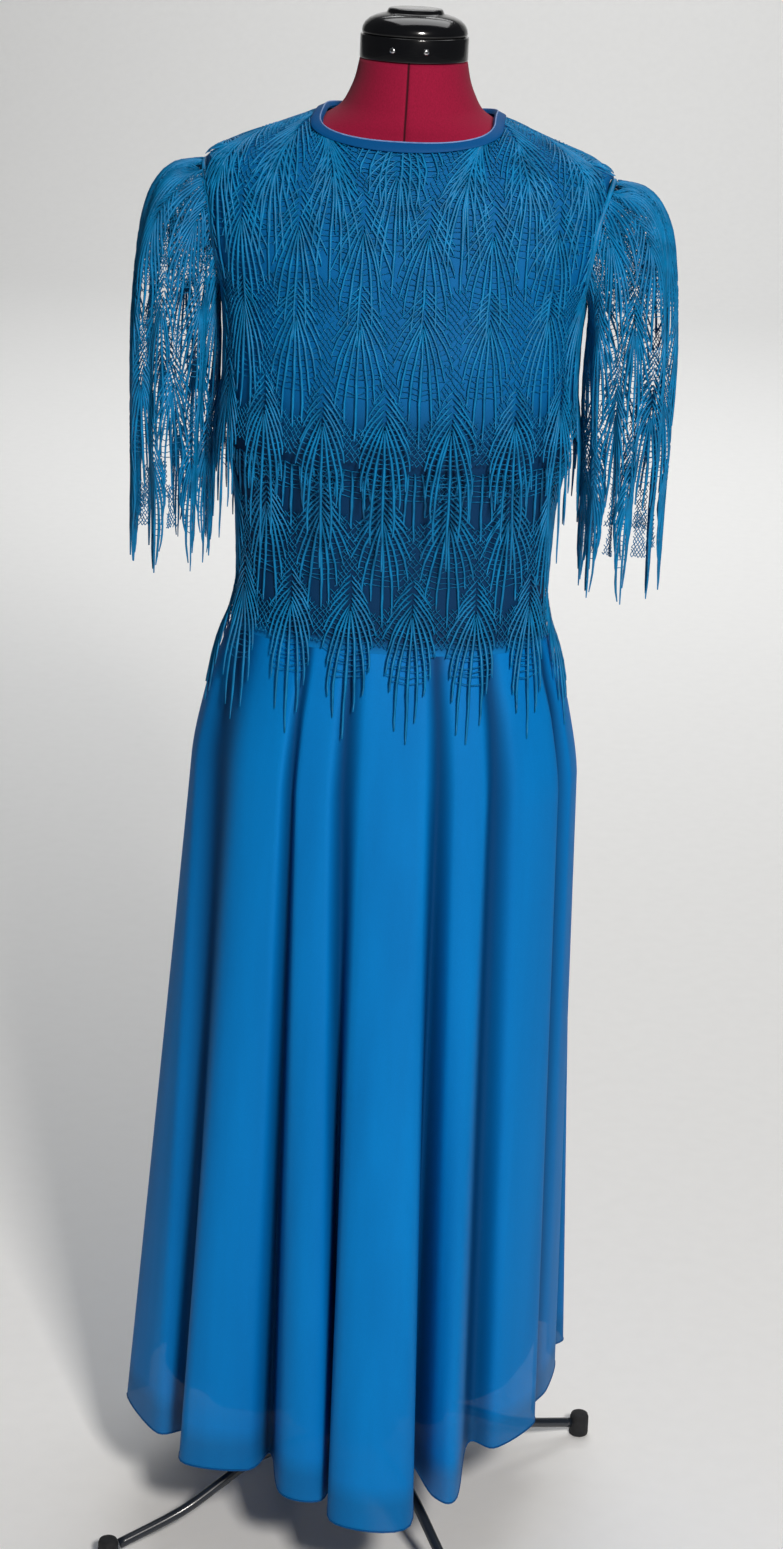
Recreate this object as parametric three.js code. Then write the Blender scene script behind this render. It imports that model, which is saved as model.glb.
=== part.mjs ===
// An evening gown on a dress form: a chiffon skirt hung in folds from a lace-covered bodice, with elbow
// sleeves of open lace whose edges end in pointed fronds. The form is a covered torso with a capped neck,
// on a pole and a low four-legged base.
//
// Millimetres, +Z up. The origin is on the floor under the pole, and the gown faces -Y.
// Left and right are those of someone who looks at the front, so right is +X.
import * as THREE from "three";

// ---- driving sizes ----------------------------------------------------------------------------------
const SEAM_GAP = 0.4; // between two pieces that are sewn together
const FORM_CLEARANCE = 2.4; // from the form's cover to the cloth on it
const CREPE = 1.2; // wall of the under-bodice
const LACE = 1.5; // wall of the lace
const LACE_CLEARANCE = 0.7; // from the under-bodice to the lace that lies on it
const CHIFFON = 1.2; // wall of the skirt
const LINING = 1.0; // wall of the skirt's lining
const LINING_CLEARANCE = 0.9; // from the lining to the skirt where both are sewn in

const BODICE_OUT = FORM_CLEARANCE + CREPE; // outer side of each layer, from the form's cover
const LACE_OUT = BODICE_OUT + LACE_CLEARANCE + LACE;
const LINING_OUT = FORM_CLEARANCE + LINING;
const SKIRT_OUT = LINING_OUT + LINING_CLEARANCE + CHIFFON;
const SLEEVE_SEAM_OUT = LACE_OUT + 1.4;
const COVERED_FORM_OUT = -6; // the form's cover where cloth lies over it

const FORM_BASE_Z = 830;
const SHOULDER_ROW_Z = 1425; // the highest row of the panels that is level
const SHOULDER_ROWS = [1, 0.66, 0.33]; // rows over the shoulder: 1 is the neckline and shoulder seam
const SHOULDER_END_Z = 1444.4;
const NECKLINE = { frontZ: 1473, backZ: 1489, sideZ: 1494, power: 2.2, share: 0.5 };
const ARMHOLE = { centreZ: 1388, halfHeight: 57, halfDepth: 46 };
const DROPPED_WAIST_Z = 985; // the seam of bodice and skirt
const HIP_Z = 860;
const SKIRT_HEM_Z = 124;

// ---- the figure: a level section of the form at each height, as an oval of power n --------------------
const FIGURE = [
  { z: 1544.6, width: 50, front: 50, back: 50, n: 2.0 },
  { z: 1528, width: 53.5, front: 53, back: 53, n: 2.0 },
  { z: 1514, width: 59, front: 56, back: 56, n: 2.0 },
  { z: 1503, width: 65.5, front: 59, back: 58, n: 2.0 },
  { z: 1494, width: 78, front: 62, back: 60, n: 2.1 },
  { z: 1480, width: 113, front: 67, back: 64, n: 2.2 },
  { z: 1466, width: 148, front: 75, back: 72, n: 2.2 },
  { z: 1453, width: 178, front: 82, back: 79, n: 2.2 },
  { z: 1444, width: 189, front: 87, back: 84, n: 2.2 },
  { z: 1425, width: 191, front: 95, back: 91, n: 2.2 },
  { z: 1388, width: 187, front: 105, back: 98, n: 2.2 },
  { z: 1331, width: 168, front: 116, back: 101, n: 2.2 },
  { z: 1285, width: 164, front: 126, back: 101, n: 2.2 },
  { z: 1240, width: 164, front: 128, back: 98, n: 2.2 },
  { z: 1185, width: 159, front: 118, back: 93, n: 2.2 },
  { z: 1115, width: 149, front: 102, back: 88, n: 2.2 },
  { z: 1048, width: 147, front: 96, back: 88, n: 2.2 },
  { z: 985, width: 155, front: 104, back: 101, n: 2.2 },
  { z: 930, width: 168, front: 111, back: 113, n: 2.2 },
  { z: 860, width: 175, front: 114, back: 121, n: 2.2 },
  { z: 830, width: 173, front: 112, back: 119, n: 2.2 },
];
const FIGURE_SIDES = 24;

// Where a lace tier leaves what it lies on and hangs free: its own outer sections.
const UPPER_TIER_HANG = [
  { z: 1250, width: 170, front: 134.5, back: 105.5, n: 2.2 },
  { z: 1218, width: 174, front: 134.5, back: 107, n: 2.2 },
  { z: 1181, width: 177, front: 133, back: 108, n: 2.2 },
  { z: 1100, width: 178, front: 129, back: 109, n: 2.2 },
];
const LOWER_TIER_HANG = [
  { z: 1015, width: 158, front: 107.5, back: 103.5, n: 2.2 },
  { z: 985, width: 169, front: 118, back: 115, n: 2.2 },
  { z: 920, width: 185, front: 128, back: 131, n: 2.2 },
];
const BODICE_ROWS_Z = [1425, 1388, 1331, 1285, 1240, 1185, 1115, 1048];
const UPPER_TIER = { rowsZ: [1425, 1388, 1331, 1285, 1250], hangZ: [1218], edgeZ: 1181, drop: 80 };
const LOWER_TIER = { rowsZ: [1115, 1048, 1015], hangZ: [], edgeZ: 1000, drop: 74 };
const LACE_FANS = 8; // across the front, and across the backs
// How far a fan's edge hangs at each of its columns, as a share of the drop: one pointed frond to a fan.
const FROND = [0.12, 0.9, 1];
const PANEL_COLUMNS = LACE_FANS * FROND.length;

const BINDING = {
  sides: 36,
  section: [
    { up: -8, out: LACE_OUT + 3.4 },
    { up: 3, out: LACE_OUT + 3.4 },
    { up: 3, out: FORM_CLEARANCE },
    { up: 1.6, out: FORM_CLEARANCE },
    { up: 1.6, out: LACE_OUT + 2 },
    { up: -8, out: LACE_OUT + 2 },
  ],
};
const BUTTON = { radius: 5, edge: 1.6, thick: 3.4, gap: 0.7 };
const LACE_BUTTONS_Z = [1452, 1412, 1372, 1332, 1292, 1088, 1048];

// ---- the skirt's folds, going round from the left side seam ------------------------------------------
// A fold has two edges and then a hollow. Each gives the angle from the front, towards +X, at which its
// line leaves the gathered seam, and the place in plan where the line ends at the hem.
const FOLDS = [
  { first: [-108, -230, 70], second: [-98, -239, 14], hollow: [-93, -228, -14] },
  { first: [-88, -247, -38], second: [-72, -203, -105], hollow: [-60, -172, -98] },
  { first: [-41, -167, -156], second: [-27, -98, -160], hollow: [-24, -78, -124] },
  { first: [-20.5, -58, -196], second: [-11.5, -16, -203], hollow: [-7.5, -6, -158] },
  { first: [-2, 0, -238], second: [14, 78, -235], hollow: [18.5, 67, -118] },
  { first: [24, 98, -176], second: [33, 122, -177], hollow: [38, 126, -72] },
  { first: [46, 156, -76], second: [66, 193, -24], hollow: [72, 190, 12] },
  { first: [78, 204, 48], second: [92, 211, 106], hollow: [99, 200, 134] },
  { first: [106, 218, 160], second: [119, 190, 196], hollow: [126, 152, 172] },
  { first: [133, 134, 222], second: [143, 102, 230], hollow: [149, 82, 184] },
  { first: [155, 64, 244], second: [165, 34, 240], hollow: [169, 26, 192] },
  { first: [175, 12, 244], second: [185, -20, 246], hollow: [192, -42, 188] },
  { first: [200, -74, 236], second: [213, -120, 222], hollow: [221, -132, 170] },
  { first: [229, -168, 190], second: [241, -206, 158], hollow: [246, -200, 104] },
];
const RIGHT_SIDE_FOLD = 7; // the side seams run down the middles of folds 0 and 7
const CENTRE_BACK_FOLD = 11;
const FOLD_RISE = { seam: 2.5, hip: 13 }; // height of a ridge over its hollow where the folds begin
const SKIRT = { steps: 6, rowsZ: [985, 930, 860, 745, 600, 440, 280, 124] };
const SKIRT_LINING = { steps: 3, rowsZ: [985, 930, 860, 640, 400, 166], ridge: 0.3, inset: 20 };

// ---- the sleeve: rings below the armhole, each given by its outermost and innermost point -------------
const SLEEVE = [
  { outerX: 219, outerZ: 1440, innerX: 177, innerZ: 1318, depth: 57, folds: 0.8 },
  { outerX: 238, outerZ: 1421, innerX: 178, innerZ: 1297, depth: 66, folds: 2 },
  { outerX: 249, outerZ: 1388, innerX: 178, innerZ: 1272, depth: 71, folds: 3.2 },
  { outerX: 255, outerZ: 1330, innerX: 179, innerZ: 1240, depth: 73, folds: 4.2 },
  { outerX: 257, outerZ: 1258, innerX: 182, innerZ: 1202, depth: 72, folds: 5 },
  { outerX: 256, outerZ: 1190, innerX: 184.5, innerZ: 1163, depth: 70, folds: 5.6 },
  { outerX: 254, outerZ: 1124, innerX: 185.5, innerZ: 1118, depth: 67, folds: 6 },
];
const SLEEVE_FANS = 8;
const SLEEVE_COLUMNS = 4 * SLEEVE_FANS;
const SLEEVE_FROND = [0.12, 0.6, 1, 0.66];
const SLEEVE_DROP = 56;
const SLEEVE_GAP = { firstRow: 3, wide: 0.15, tall: 0.2 };

// ---- the form's fittings -----------------------------------------------------------------------------
const BAND = { radius: 50.2, lowZ: 1545, highZ: 1567 };
const CAP_PROFILE = [
  { r: 0, z: 1567.4 },
  { r: 48.4, z: 1567.4 },
  { r: 49.0, z: 1571 },
  { r: 47.4, z: 1576 },
  { r: 42.5, z: 1581 },
  { r: 35, z: 1584.6 },
  { r: 27, z: 1586 },
  { r: 25.6, z: 1587.4 },
  { r: 24, z: 1590.4 },
  { r: 21.5, z: 1591 },
  { r: 0, z: 1591 },
];
const SCREW = { radius: 2.7, stand: 1.5, turn: 18 };
const POLE = { radius: 12.5, lowZ: 112 };
const HUB = { radius: 27, lowZ: 72, highZ: 111.6 };
const LEG = { radius: 5.5, count: 4, firstTurn: 34, innerR: 27.6, innerZ: 92, outerR: 280, outerZ: 17 };
const FOOT = { radius: 11, height: 27, gap: 1.6 };

// ---- colours -----------------------------------------------------------------------------------------
const FINISH = {
  crepe: { color: 0x0f78b4, roughness: 0.72, metalness: 0 },
  lace: { color: 0x1486bd, roughness: 0.62, metalness: 0 },
  chiffon: { color: 0x0a70b0, roughness: 0.66, metalness: 0 },
  lining: { color: 0x0a659f, roughness: 0.5, metalness: 0 },
  binding: { color: 0x1784c4, roughness: 0.55, metalness: 0 },
  cover: { color: 0x9c1440, roughness: 0.85, metalness: 0 },
  plastic: { color: 0x101216, roughness: 0.18, metalness: 0 },
  screw: { color: 0xc9ccd0, roughness: 0.25, metalness: 1 },
  steel: { color: 0x23282f, roughness: 0.35, metalness: 0.8 },
  rubber: { color: 0x17181a, roughness: 0.8, metalness: 0 },
};

// ---- small helpers -----------------------------------------------------------------------------------
const radians = THREE.MathUtils.degToRad;
const mix = THREE.MathUtils.lerp;
const range = (count) => Array.from({ length: count }, (_, k) => k);
const QUARTER = Math.PI / 2;
const UP = new THREE.Vector3(0, 0, 1);

const gown = new THREE.Group();

function add(name, geometry, finish) {
  const mesh = new THREE.Mesh(geometry, new THREE.MeshStandardMaterial(FINISH[finish]));
  mesh.name = name;
  gown.add(mesh);
  return mesh;
}

function meshOf(position, index) {
  const geometry = new THREE.BufferGeometry();
  geometry.setAttribute("position", new THREE.Float32BufferAttribute(position, 3));
  geometry.setIndex(index);
  return geometry;
}

// ---- the figure as a surface -------------------------------------------------------------------------

// A row of a table of heights, at a height between its rows.
function atHeight(table, z) {
  const last = table.length - 1;
  if (z >= table[0].z) return table[0];
  if (z <= table[last].z) return table[last];
  const low = table.findIndex((row) => row.z <= z);
  const above = table[low - 1];
  const below = table[low];
  const share = (above.z - z) / (above.z - below.z);
  return Object.fromEntries(Object.keys(above).map((key) => [key, mix(above[key], below[key], share)]));
}

// How far out of a table's surface a point is: 1 on it, less inside.
function reach(table, x, y, z) {
  const section = atHeight(table, z);
  const depth = y < 0 ? section.front : section.back;
  return (Math.abs(x) / section.width) ** section.n + (Math.abs(y) / depth) ** section.n;
}

function movedOut(table, point, out) {
  const { x, y, z } = point;
  const h = 0.5;
  const normal = new THREE.Vector3(
    reach(table, x + h, y, z) - reach(table, x - h, y, z),
    reach(table, x, y + h, z) - reach(table, x, y - h, z),
    reach(table, x, y, z + h) - reach(table, x, y, z - h),
  );
  return point.clone().addScaledVector(normal.normalize(), out);
}

// The point of a table's section at an angle from the front, towards +X.
function onSection(table, angle, z) {
  const section = atHeight(table, z);
  const sine = Math.sin(angle);
  const cosine = Math.cos(angle);
  const depth = cosine > 0 ? section.front : section.back;
  const x = section.width * Math.sign(sine) * Math.abs(sine) ** (2 / section.n);
  const y = -depth * Math.sign(cosine) * Math.abs(cosine) ** (2 / section.n);
  return new THREE.Vector3(x, y, z);
}

// The height of the shoulders' surface over a place in plan.
function overPlan(x, y) {
  let low = ARMHOLE.centreZ;
  let high = FIGURE[0].z;
  for (let k = 0; k < 40; k++) {
    const middle = (low + high) / 2;
    if (reach(FIGURE, x, y, middle) < 1) low = middle;
    else high = middle;
  }
  return new THREE.Vector3(x, y, low);
}

// The point of the armhole's edge at a height, on the side (-1 left, 1 right) and face (-1 front, 1 back).
function onArmhole(side, face, z) {
  const section = atHeight(FIGURE, z);
  const lift = Math.min(1, Math.abs(z - ARMHOLE.centreZ) / ARMHOLE.halfHeight);
  const y = ARMHOLE.halfDepth * Math.sqrt(1 - lift * lift);
  const depth = face < 0 ? section.front : section.back;
  const x = section.width * (1 - (y / depth) ** section.n) ** (1 / section.n);
  return new THREE.Vector3(side * x, face * y, z);
}

// The angle at which a panel of the front or back ends at a height: at the armhole, or the side seam.
function panelEnd(face, z) {
  const edge = onArmhole(1, face, z);
  const section = atHeight(FIGURE, z);
  const depth = face < 0 ? section.front : section.back;
  return Math.acos((Math.abs(edge.y) / depth) ** (section.n / 2));
}

function onNeckline(face, angle) {
  const middleZ = face < 0 ? NECKLINE.frontZ : NECKLINE.backZ;
  const z = mix(middleZ, NECKLINE.sideZ, Math.abs(Math.sin(angle)) ** NECKLINE.power);
  return onSection(FIGURE, angle, z);
}

// A point of a body panel. across runs from -1 to 1 as seen from outside; face is -1 front, 1 back.
function onPanel(face, across, z) {
  const middle = face < 0 ? 0 : Math.PI;
  return onSection(FIGURE, middle + across * panelEnd(face, z), z);
}

// A point of a panel between its highest level row (0) and its neckline and shoulder seam (1).
function onShoulder(face, across, share) {
  const side = Math.sign(across) * (face < 0 ? 1 : -1) || 1;
  const size = Math.abs(across);
  const middle = face < 0 ? 0 : Math.PI;
  const foot = onPanel(face, across, SHOULDER_ROW_Z);
  const neckAngle = middle + (across / NECKLINE.share) * QUARTER;
  const past = (size - NECKLINE.share) / (1 - NECKLINE.share);
  const seamX = side * mix(atHeight(FIGURE, NECKLINE.sideZ).width, atHeight(FIGURE, SHOULDER_END_Z).width, past);
  const top = past > 0 ? overPlan(seamX, 0) : onNeckline(face, neckAngle);
  // The last column follows the armhole, and the columns beside it lean towards it.
  const straight = onPanel(face, Math.sign(across) || 1, SHOULDER_ROW_Z).lerp(overPlan(seamX, 0), share);
  const edge = onArmhole(side, face, mix(SHOULDER_ROW_Z, SHOULDER_END_Z, share));
  const lean = size ** 8;
  const x = mix(foot.x, top.x, share) + lean * (edge.x - straight.x);
  const y = mix(foot.y, top.y, share) + lean * (edge.y - straight.y);
  return overPlan(x, y);
}

// ---- walls -------------------------------------------------------------------------------------------

// A thin wall between two grids of points, outer and inner, with rows from the top and columns going
// round. slit(row, column) says which cells have a diamond-shaped gap, as half sizes in shares of a cell.
function wall(outer, inner, slit = () => null) {
  const rows = outer.length;
  const columns = outer[0].length;
  const position = [];
  const index = [];
  const put = (p) => position.push(p.x, p.y, p.z) / 3 - 1;
  const fan = (first, ...others) => {
    for (let k = 0; k + 1 < others.length; k++) index.push(first, others[k], others[k + 1]);
  };
  // Corners are given as seen from outside, turning left; the inner skin turns the other way.
  const skin = (layer, first, ...others) => fan(first, ...(layer === 0 ? others : others.reverse()));
  const layers = [outer, inner];
  const at = layers.map((grid) => grid.map((row) => row.map(put)));

  const pierced = (i, j, gap) => {
    const rims = layers.map((grid, layer) => {
      const inCell = (u, v) => {
        const top = grid[i][j].clone().lerp(grid[i][j + 1], u);
        return put(top.lerp(grid[i + 1][j].clone().lerp(grid[i + 1][j + 1], u), v));
      };
      const rim = [
        inCell(0.5, 0.5 + gap.tall),
        inCell(0.5 + gap.wide, 0.5),
        inCell(0.5, 0.5 - gap.tall),
        inCell(0.5 - gap.wide, 0.5),
      ];
      const a = at[layer];
      const corners = [a[i + 1][j], a[i + 1][j + 1], a[i][j + 1], a[i][j]];
      for (let k = 0; k < 4; k++) {
        const next = (k + 1) % 4;
        skin(layer, rim[k], corners[k], corners[next]);
        skin(layer, rim[k], corners[next], rim[next]);
      }
      return rim;
    });
    for (let k = 0; k < 4; k++) {
      const next = (k + 1) % 4;
      fan(rims[0][k], rims[0][next], rims[1][next], rims[1][k]);
    }
  };

  for (let i = 0; i + 1 < rows; i++) {
    for (let j = 0; j + 1 < columns; j++) {
      const gap = slit(i, j);
      if (gap) {
        pierced(i, j, gap);
        continue;
      }
      for (const layer of [0, 1]) {
        const a = at[layer];
        skin(layer, a[i + 1][j], a[i + 1][j + 1], a[i][j + 1], a[i][j]);
      }
    }
  }
  const [a, b] = at;
  const low = rows - 1;
  const end = columns - 1;
  for (let j = 0; j < end; j++) {
    fan(a[0][j], a[0][j + 1], b[0][j + 1], b[0][j]);
    fan(a[low][j + 1], a[low][j], b[low][j], b[low][j + 1]);
  }
  for (let i = 0; i < low; i++) {
    fan(a[i + 1][0], a[i][0], b[i][0], b[i + 1][0]);
    fan(a[i][end], a[i + 1][end], b[i + 1][end], b[i][end]);
  }
  return meshOf(position, index);
}

// A piece's columns out of a grid, with its first and last drawn back by half a seam's gap.
function cut(grid, from, to) {
  return grid.map((row) => {
    const piece = row.slice(from, to + 1);
    const drawn = (end, beside) => end.clone().add(beside.clone().sub(end).setLength(SEAM_GAP / 2));
    const last = piece.length - 1;
    return piece.map((point, k) => {
      if (k === 0) return drawn(point, piece[1]);
      if (k === last) return drawn(point, piece[last - 1]);
      return point;
    });
  });
}

// The inner grid of a closed round of points: each moved in by the wall, square to the surface.
function movedIn(outer, thickness) {
  const rows = outer.length;
  const around = outer[0].length - 1;
  return outer.map((row, i) =>
    row.map((point, j) => {
      const across = row[(j + 1) % around].clone().sub(row[(j + around - 1) % around]);
      const down = outer[Math.min(rows - 1, i + 1)][j].clone().sub(outer[Math.max(0, i - 1)][j]);
      return point.clone().addScaledVector(down.cross(across).normalize(), -thickness);
    }),
  );
}

// A closed body through rings of points, listed from the top, with a flat end at each.
function loft(rings) {
  const position = [];
  const index = [];
  const put = (p) => position.push(p.x, p.y, p.z) / 3 - 1;
  const at = rings.map((ring) => ring.map(put));
  const around = rings[0].length;
  const low = rings.length - 1;
  const middle = (ring) => ring.reduce((sum, p) => sum.add(p), new THREE.Vector3()).divideScalar(around);
  const top = put(middle(rings[0]));
  const bottom = put(middle(rings[low]));
  for (let j = 0; j < around; j++) {
    const next = (j + 1) % around;
    for (let i = 0; i < low; i++) {
      index.push(at[i][j], at[i + 1][j], at[i + 1][next]);
      index.push(at[i][j], at[i + 1][next], at[i][next]);
    }
    index.push(top, at[0][j], at[0][next]);
    index.push(bottom, at[low][next], at[low][j]);
  }
  return meshOf(position, index);
}

function turned(profile, sides) {
  const geometry = new THREE.LatheGeometry(profile.map((p) => new THREE.Vector2(p.r, p.z)), sides);
  return geometry.rotateX(QUARTER);
}

function rod(radius, lowZ, highZ, edge, sides) {
  const profile = [
    { r: 0, z: lowZ },
    { r: radius - edge, z: lowZ },
    { r: radius, z: lowZ + edge },
    { r: radius, z: highZ - edge },
    { r: radius - edge, z: highZ },
    { r: 0, z: highZ },
  ];
  return turned(profile, sides);
}

// ---- bodice and lace tiers ---------------------------------------------------------------------------

// The grid of a body panel at a distance from the figure. face is -1 front, 1 back.
function panelGrid(face, levelRowsZ, out) {
  const acrossOf = (j) => (2 * j) / PANEL_COLUMNS - 1;
  const shoulder = SHOULDER_ROWS.map((share) =>
    range(PANEL_COLUMNS + 1).map((j) => movedOut(FIGURE, onShoulder(face, acrossOf(j), share), out)),
  );
  const level = levelRowsZ.map((z) =>
    range(PANEL_COLUMNS + 1).map((j) => movedOut(FIGURE, onPanel(face, acrossOf(j), z), out)),
  );
  return { shoulder, level };
}

// Cuts a front and two backs out of a front grid and a back grid, each with its outer and inner side.
function addThreePieces(name, finish, gridOf) {
  for (const [face, label] of [[-1, "front"], [1, "back"]]) {
    const outer = gridOf(face, 0);
    const inner = gridOf(face, 1);
    const end = outer[0].length - 1;
    const pieces = face < 0
      ? [[`${name}_${label}`, 0, end]]
      : [[`${name}_${label}_right`, 0, end / 2], [`${name}_${label}_left`, end / 2, end]];
    for (const [piece, from, to] of pieces) {
      add(piece, wall(cut(outer, from, to), cut(inner, from, to)), finish);
    }
  }
}

function addBodice() {
  const rows = [...BODICE_ROWS_Z, DROPPED_WAIST_Z + SEAM_GAP];
  addThreePieces("bodice", "crepe", (face, layer) => {
    const { shoulder, level } = panelGrid(face, rows, BODICE_OUT - layer * CREPE);
    return [...shoulder, ...level];
  });
}

// Rows of a tier below where it leaves the figure, down to the fronds at its edge.
function hangingRows(tier, table, face, layer) {
  const middle = face < 0 ? 0 : Math.PI;
  const heights = [...tier.hangZ.map((z) => () => z), () => tier.edgeZ];
  heights.push((j) => tier.edgeZ - tier.drop * FROND[j % FROND.length]);
  return heights.map((heightAt) =>
    range(PANEL_COLUMNS + 1).map((j) => {
      const angle = middle + ((2 * j) / PANEL_COLUMNS - 1) * QUARTER;
      return movedOut(table, onSection(table, angle, heightAt(j)), -layer * LACE);
    }),
  );
}

function addLaceTiers() {
  addThreePieces("upper_lace", "lace", (face, layer) => {
    const { shoulder, level } = panelGrid(face, UPPER_TIER.rowsZ, LACE_OUT - layer * LACE);
    return [...shoulder, ...level, ...hangingRows(UPPER_TIER, UPPER_TIER_HANG, face, layer)];
  });
  addThreePieces("lower_lace", "lace", (face, layer) => {
    const { level } = panelGrid(face, LOWER_TIER.rowsZ, LACE_OUT - layer * LACE);
    return [...level, ...hangingRows(LOWER_TIER, LOWER_TIER_HANG, face, layer)];
  });
}

// ---- neck binding and buttons ------------------------------------------------------------------------

// The point of the figure at a distance up from the neckline, along the surface.
function fromNeckline(angle, up) {
  const face = Math.cos(angle) > 0 ? -1 : 1;
  const start = onNeckline(face, angle);
  let near = start.z;
  let far = start.z + Math.sign(up) * 20;
  for (let k = 0; k < 30; k++) {
    const middle = (near + far) / 2;
    if (onSection(FIGURE, angle, middle).distanceTo(start) < Math.abs(up)) near = middle;
    else far = middle;
  }
  return onSection(FIGURE, angle, near);
}

function bindingRing(angle) {
  return BINDING.section.map(({ up, out }) => movedOut(FIGURE, fromNeckline(angle, up), out));
}

// The binding goes once round from the centre back, and its ends meet there.
function bindingStrip() {
  const half = SEAM_GAP / 2 / atHeight(FIGURE, NECKLINE.backZ).back;
  const rings = range(BINDING.sides + 1).map((k) =>
    bindingRing(mix(-Math.PI + half, Math.PI - half, k / BINDING.sides)),
  );
  const position = rings.flat().flatMap((p) => [p.x, p.y, p.z]);
  const around = BINDING.section.length;
  const index = [];
  for (let i = 0; i < BINDING.sides; i++) {
    for (let j = 0; j < around; j++) {
      const a = i * around + j;
      const b = i * around + ((j + 1) % around);
      index.push(a, a + around, b, b, a + around, b + around);
    }
  }
  const outline = BINDING.section.map(({ up, out }) => new THREE.Vector2(out, up));
  const last = BINDING.sides * around;
  for (const [p, q, r] of THREE.ShapeUtils.triangulateShape(outline, [])) {
    index.push(p, q, r, last + p, last + r, last + q);
  }
  return meshOf(position, index);
}

function addBindingAndButtons() {
  add("neck_binding", bindingStrip(), "binding");
  const dome = [
    { r: 0, z: 0 },
    { r: BUTTON.radius, z: 0 },
    { r: BUTTON.radius, z: BUTTON.edge },
    { r: BUTTON.radius * 0.6, z: BUTTON.thick * 0.88 },
    { r: 0, z: BUTTON.thick },
  ];
  const napeMiddle = fromNeckline(Math.PI, -BUTTON.radius + 1);
  const places = [
    [napeMiddle, BINDING.section[0].out],
    ...LACE_BUTTONS_Z.map((z) => [onSection(FIGURE, Math.PI, z), LACE_OUT]),
  ];
  places.forEach(([point, out], k) => {
    const seat = movedOut(FIGURE, point, out + BUTTON.gap);
    const normal = seat.clone().sub(point).normalize();
    const button = add(`button_${k + 1}`, turned(dome, 8), "binding");
    button.quaternion.setFromUnitVectors(UP, normal);
    button.position.copy(seat);
  });
}

// ---- sleeves -----------------------------------------------------------------------------------------

// A point of a ring of the sleeve, at an angle from its front towards +X. The first ring is the armhole.
function onSleeve(side, ring, angle) {
  const across = Math.sin(angle);
  const ahead = Math.cos(angle);
  if (ring < 0) {
    const z = ARMHOLE.centreZ + side * across * ARMHOLE.halfHeight;
    const edge = onArmhole(side, ahead > 0 ? -1 : 1, z);
    return movedOut(FIGURE, edge, SLEEVE_SEAM_OUT);
  }
  const { outerX, outerZ, innerX, innerZ, depth, folds } = SLEEVE[ring];
  const wave = folds * Math.cos(SLEEVE_FANS * angle);
  const x = (side * (outerX + innerX)) / 2 + ((outerX - innerX) / 2 + wave) * across;
  const y = -(depth + wave) * ahead;
  const z = (outerZ + innerZ) / 2 + (side * across * (outerZ - innerZ)) / 2;
  return new THREE.Vector3(x, y, z);
}

function sleeveGrid(side) {
  const angleOf = (j) => -QUARTER + (2 * Math.PI * j) / SLEEVE_COLUMNS;
  const rings = [-1, ...range(SLEEVE.length)].map((ring) =>
    range(SLEEVE_COLUMNS + 1).map((j) => onSleeve(side, ring, angleOf(j))),
  );
  const edge = rings[rings.length - 1];
  const tips = edge.map((p, j) => {
    const share = SLEEVE_FROND[(j + 1) % SLEEVE_FROND.length];
    return p.clone().setZ(p.z - SLEEVE_DROP * share);
  });
  return [...rings, tips];
}

function addSleeves() {
  const middle = SLEEVE_COLUMNS / 2;
  const slit = (row, column) => {
    const inReach = row >= SLEEVE_GAP.firstRow && row < SLEEVE.length;
    return inReach && (2 * row + column) % 4 === 0 ? SLEEVE_GAP : null;
  };
  for (const [label, side] of [["left", -1], ["right", 1]]) {
    const outer = sleeveGrid(side);
    const inner = movedIn(outer, LACE);
    for (const [half, from] of [["front", 0], ["back", middle]]) {
      const pieces = [outer, inner].map((grid) => cut(grid, from, from + middle));
      add(`sleeve_${label}_${half}`, wall(...pieces, slit), "lace");
    }
  }
}

// ---- skirt and its lining ----------------------------------------------------------------------------

const inPlan = (lines) => {
  const points = lines.map(([, x, y]) => new THREE.Vector3(x, y, 0));
  return new THREE.CatmullRomCurve3(points, true, "catmullrom", 0.5);
};
const FOLD_LINES = FOLDS.flatMap((fold) => [fold.first, fold.second, fold.hollow]);
const hemAll = inPlan(FOLD_LINES);
const hemHollows = inPlan(FOLDS.map((fold) => fold.hollow));

// Places going round are counted in folds: a whole number is the middle of a fold's ridge, and a half is
// its hollow. This gives the place among the folds' lines.
const lineOf = (fold) => (3 * fold + 0.5) % FOLD_LINES.length;

// The angle at which a place of the skirt leaves the seam.
function foldTurn(fold) {
  const line = lineOf(fold);
  const before = Math.floor(line);
  const after = (before + 1) % FOLD_LINES.length;
  const there = FOLD_LINES[after][0] + (after === 0 ? 360 : 0);
  return radians(mix(FOLD_LINES[before][0], there, line - before));
}

// A point of the skirt at a place going round.
function onSkirt(fold, z) {
  const fromHollow = Math.min(1, 3 * Math.abs((fold % 1) - 0.5));
  const ridge = Math.sin(QUARTER * fromHollow) ** 2;
  const belowSeam = Math.min(1, (DROPPED_WAIST_Z - z) / (DROPPED_WAIST_Z - HIP_Z));
  const out = SKIRT_OUT + ridge * mix(FOLD_RISE.seam, FOLD_RISE.hip, belowSeam);
  const above = movedOut(FIGURE, onSection(FIGURE, foldTurn(fold), Math.max(z, HIP_Z)), out).setZ(z);
  const hem = hemAll.getPoint(lineOf(fold) / FOLD_LINES.length).setZ(z);
  return above.lerp(hem, Math.max(0, (HIP_Z - z) / (HIP_Z - SKIRT_HEM_Z)));
}

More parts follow.
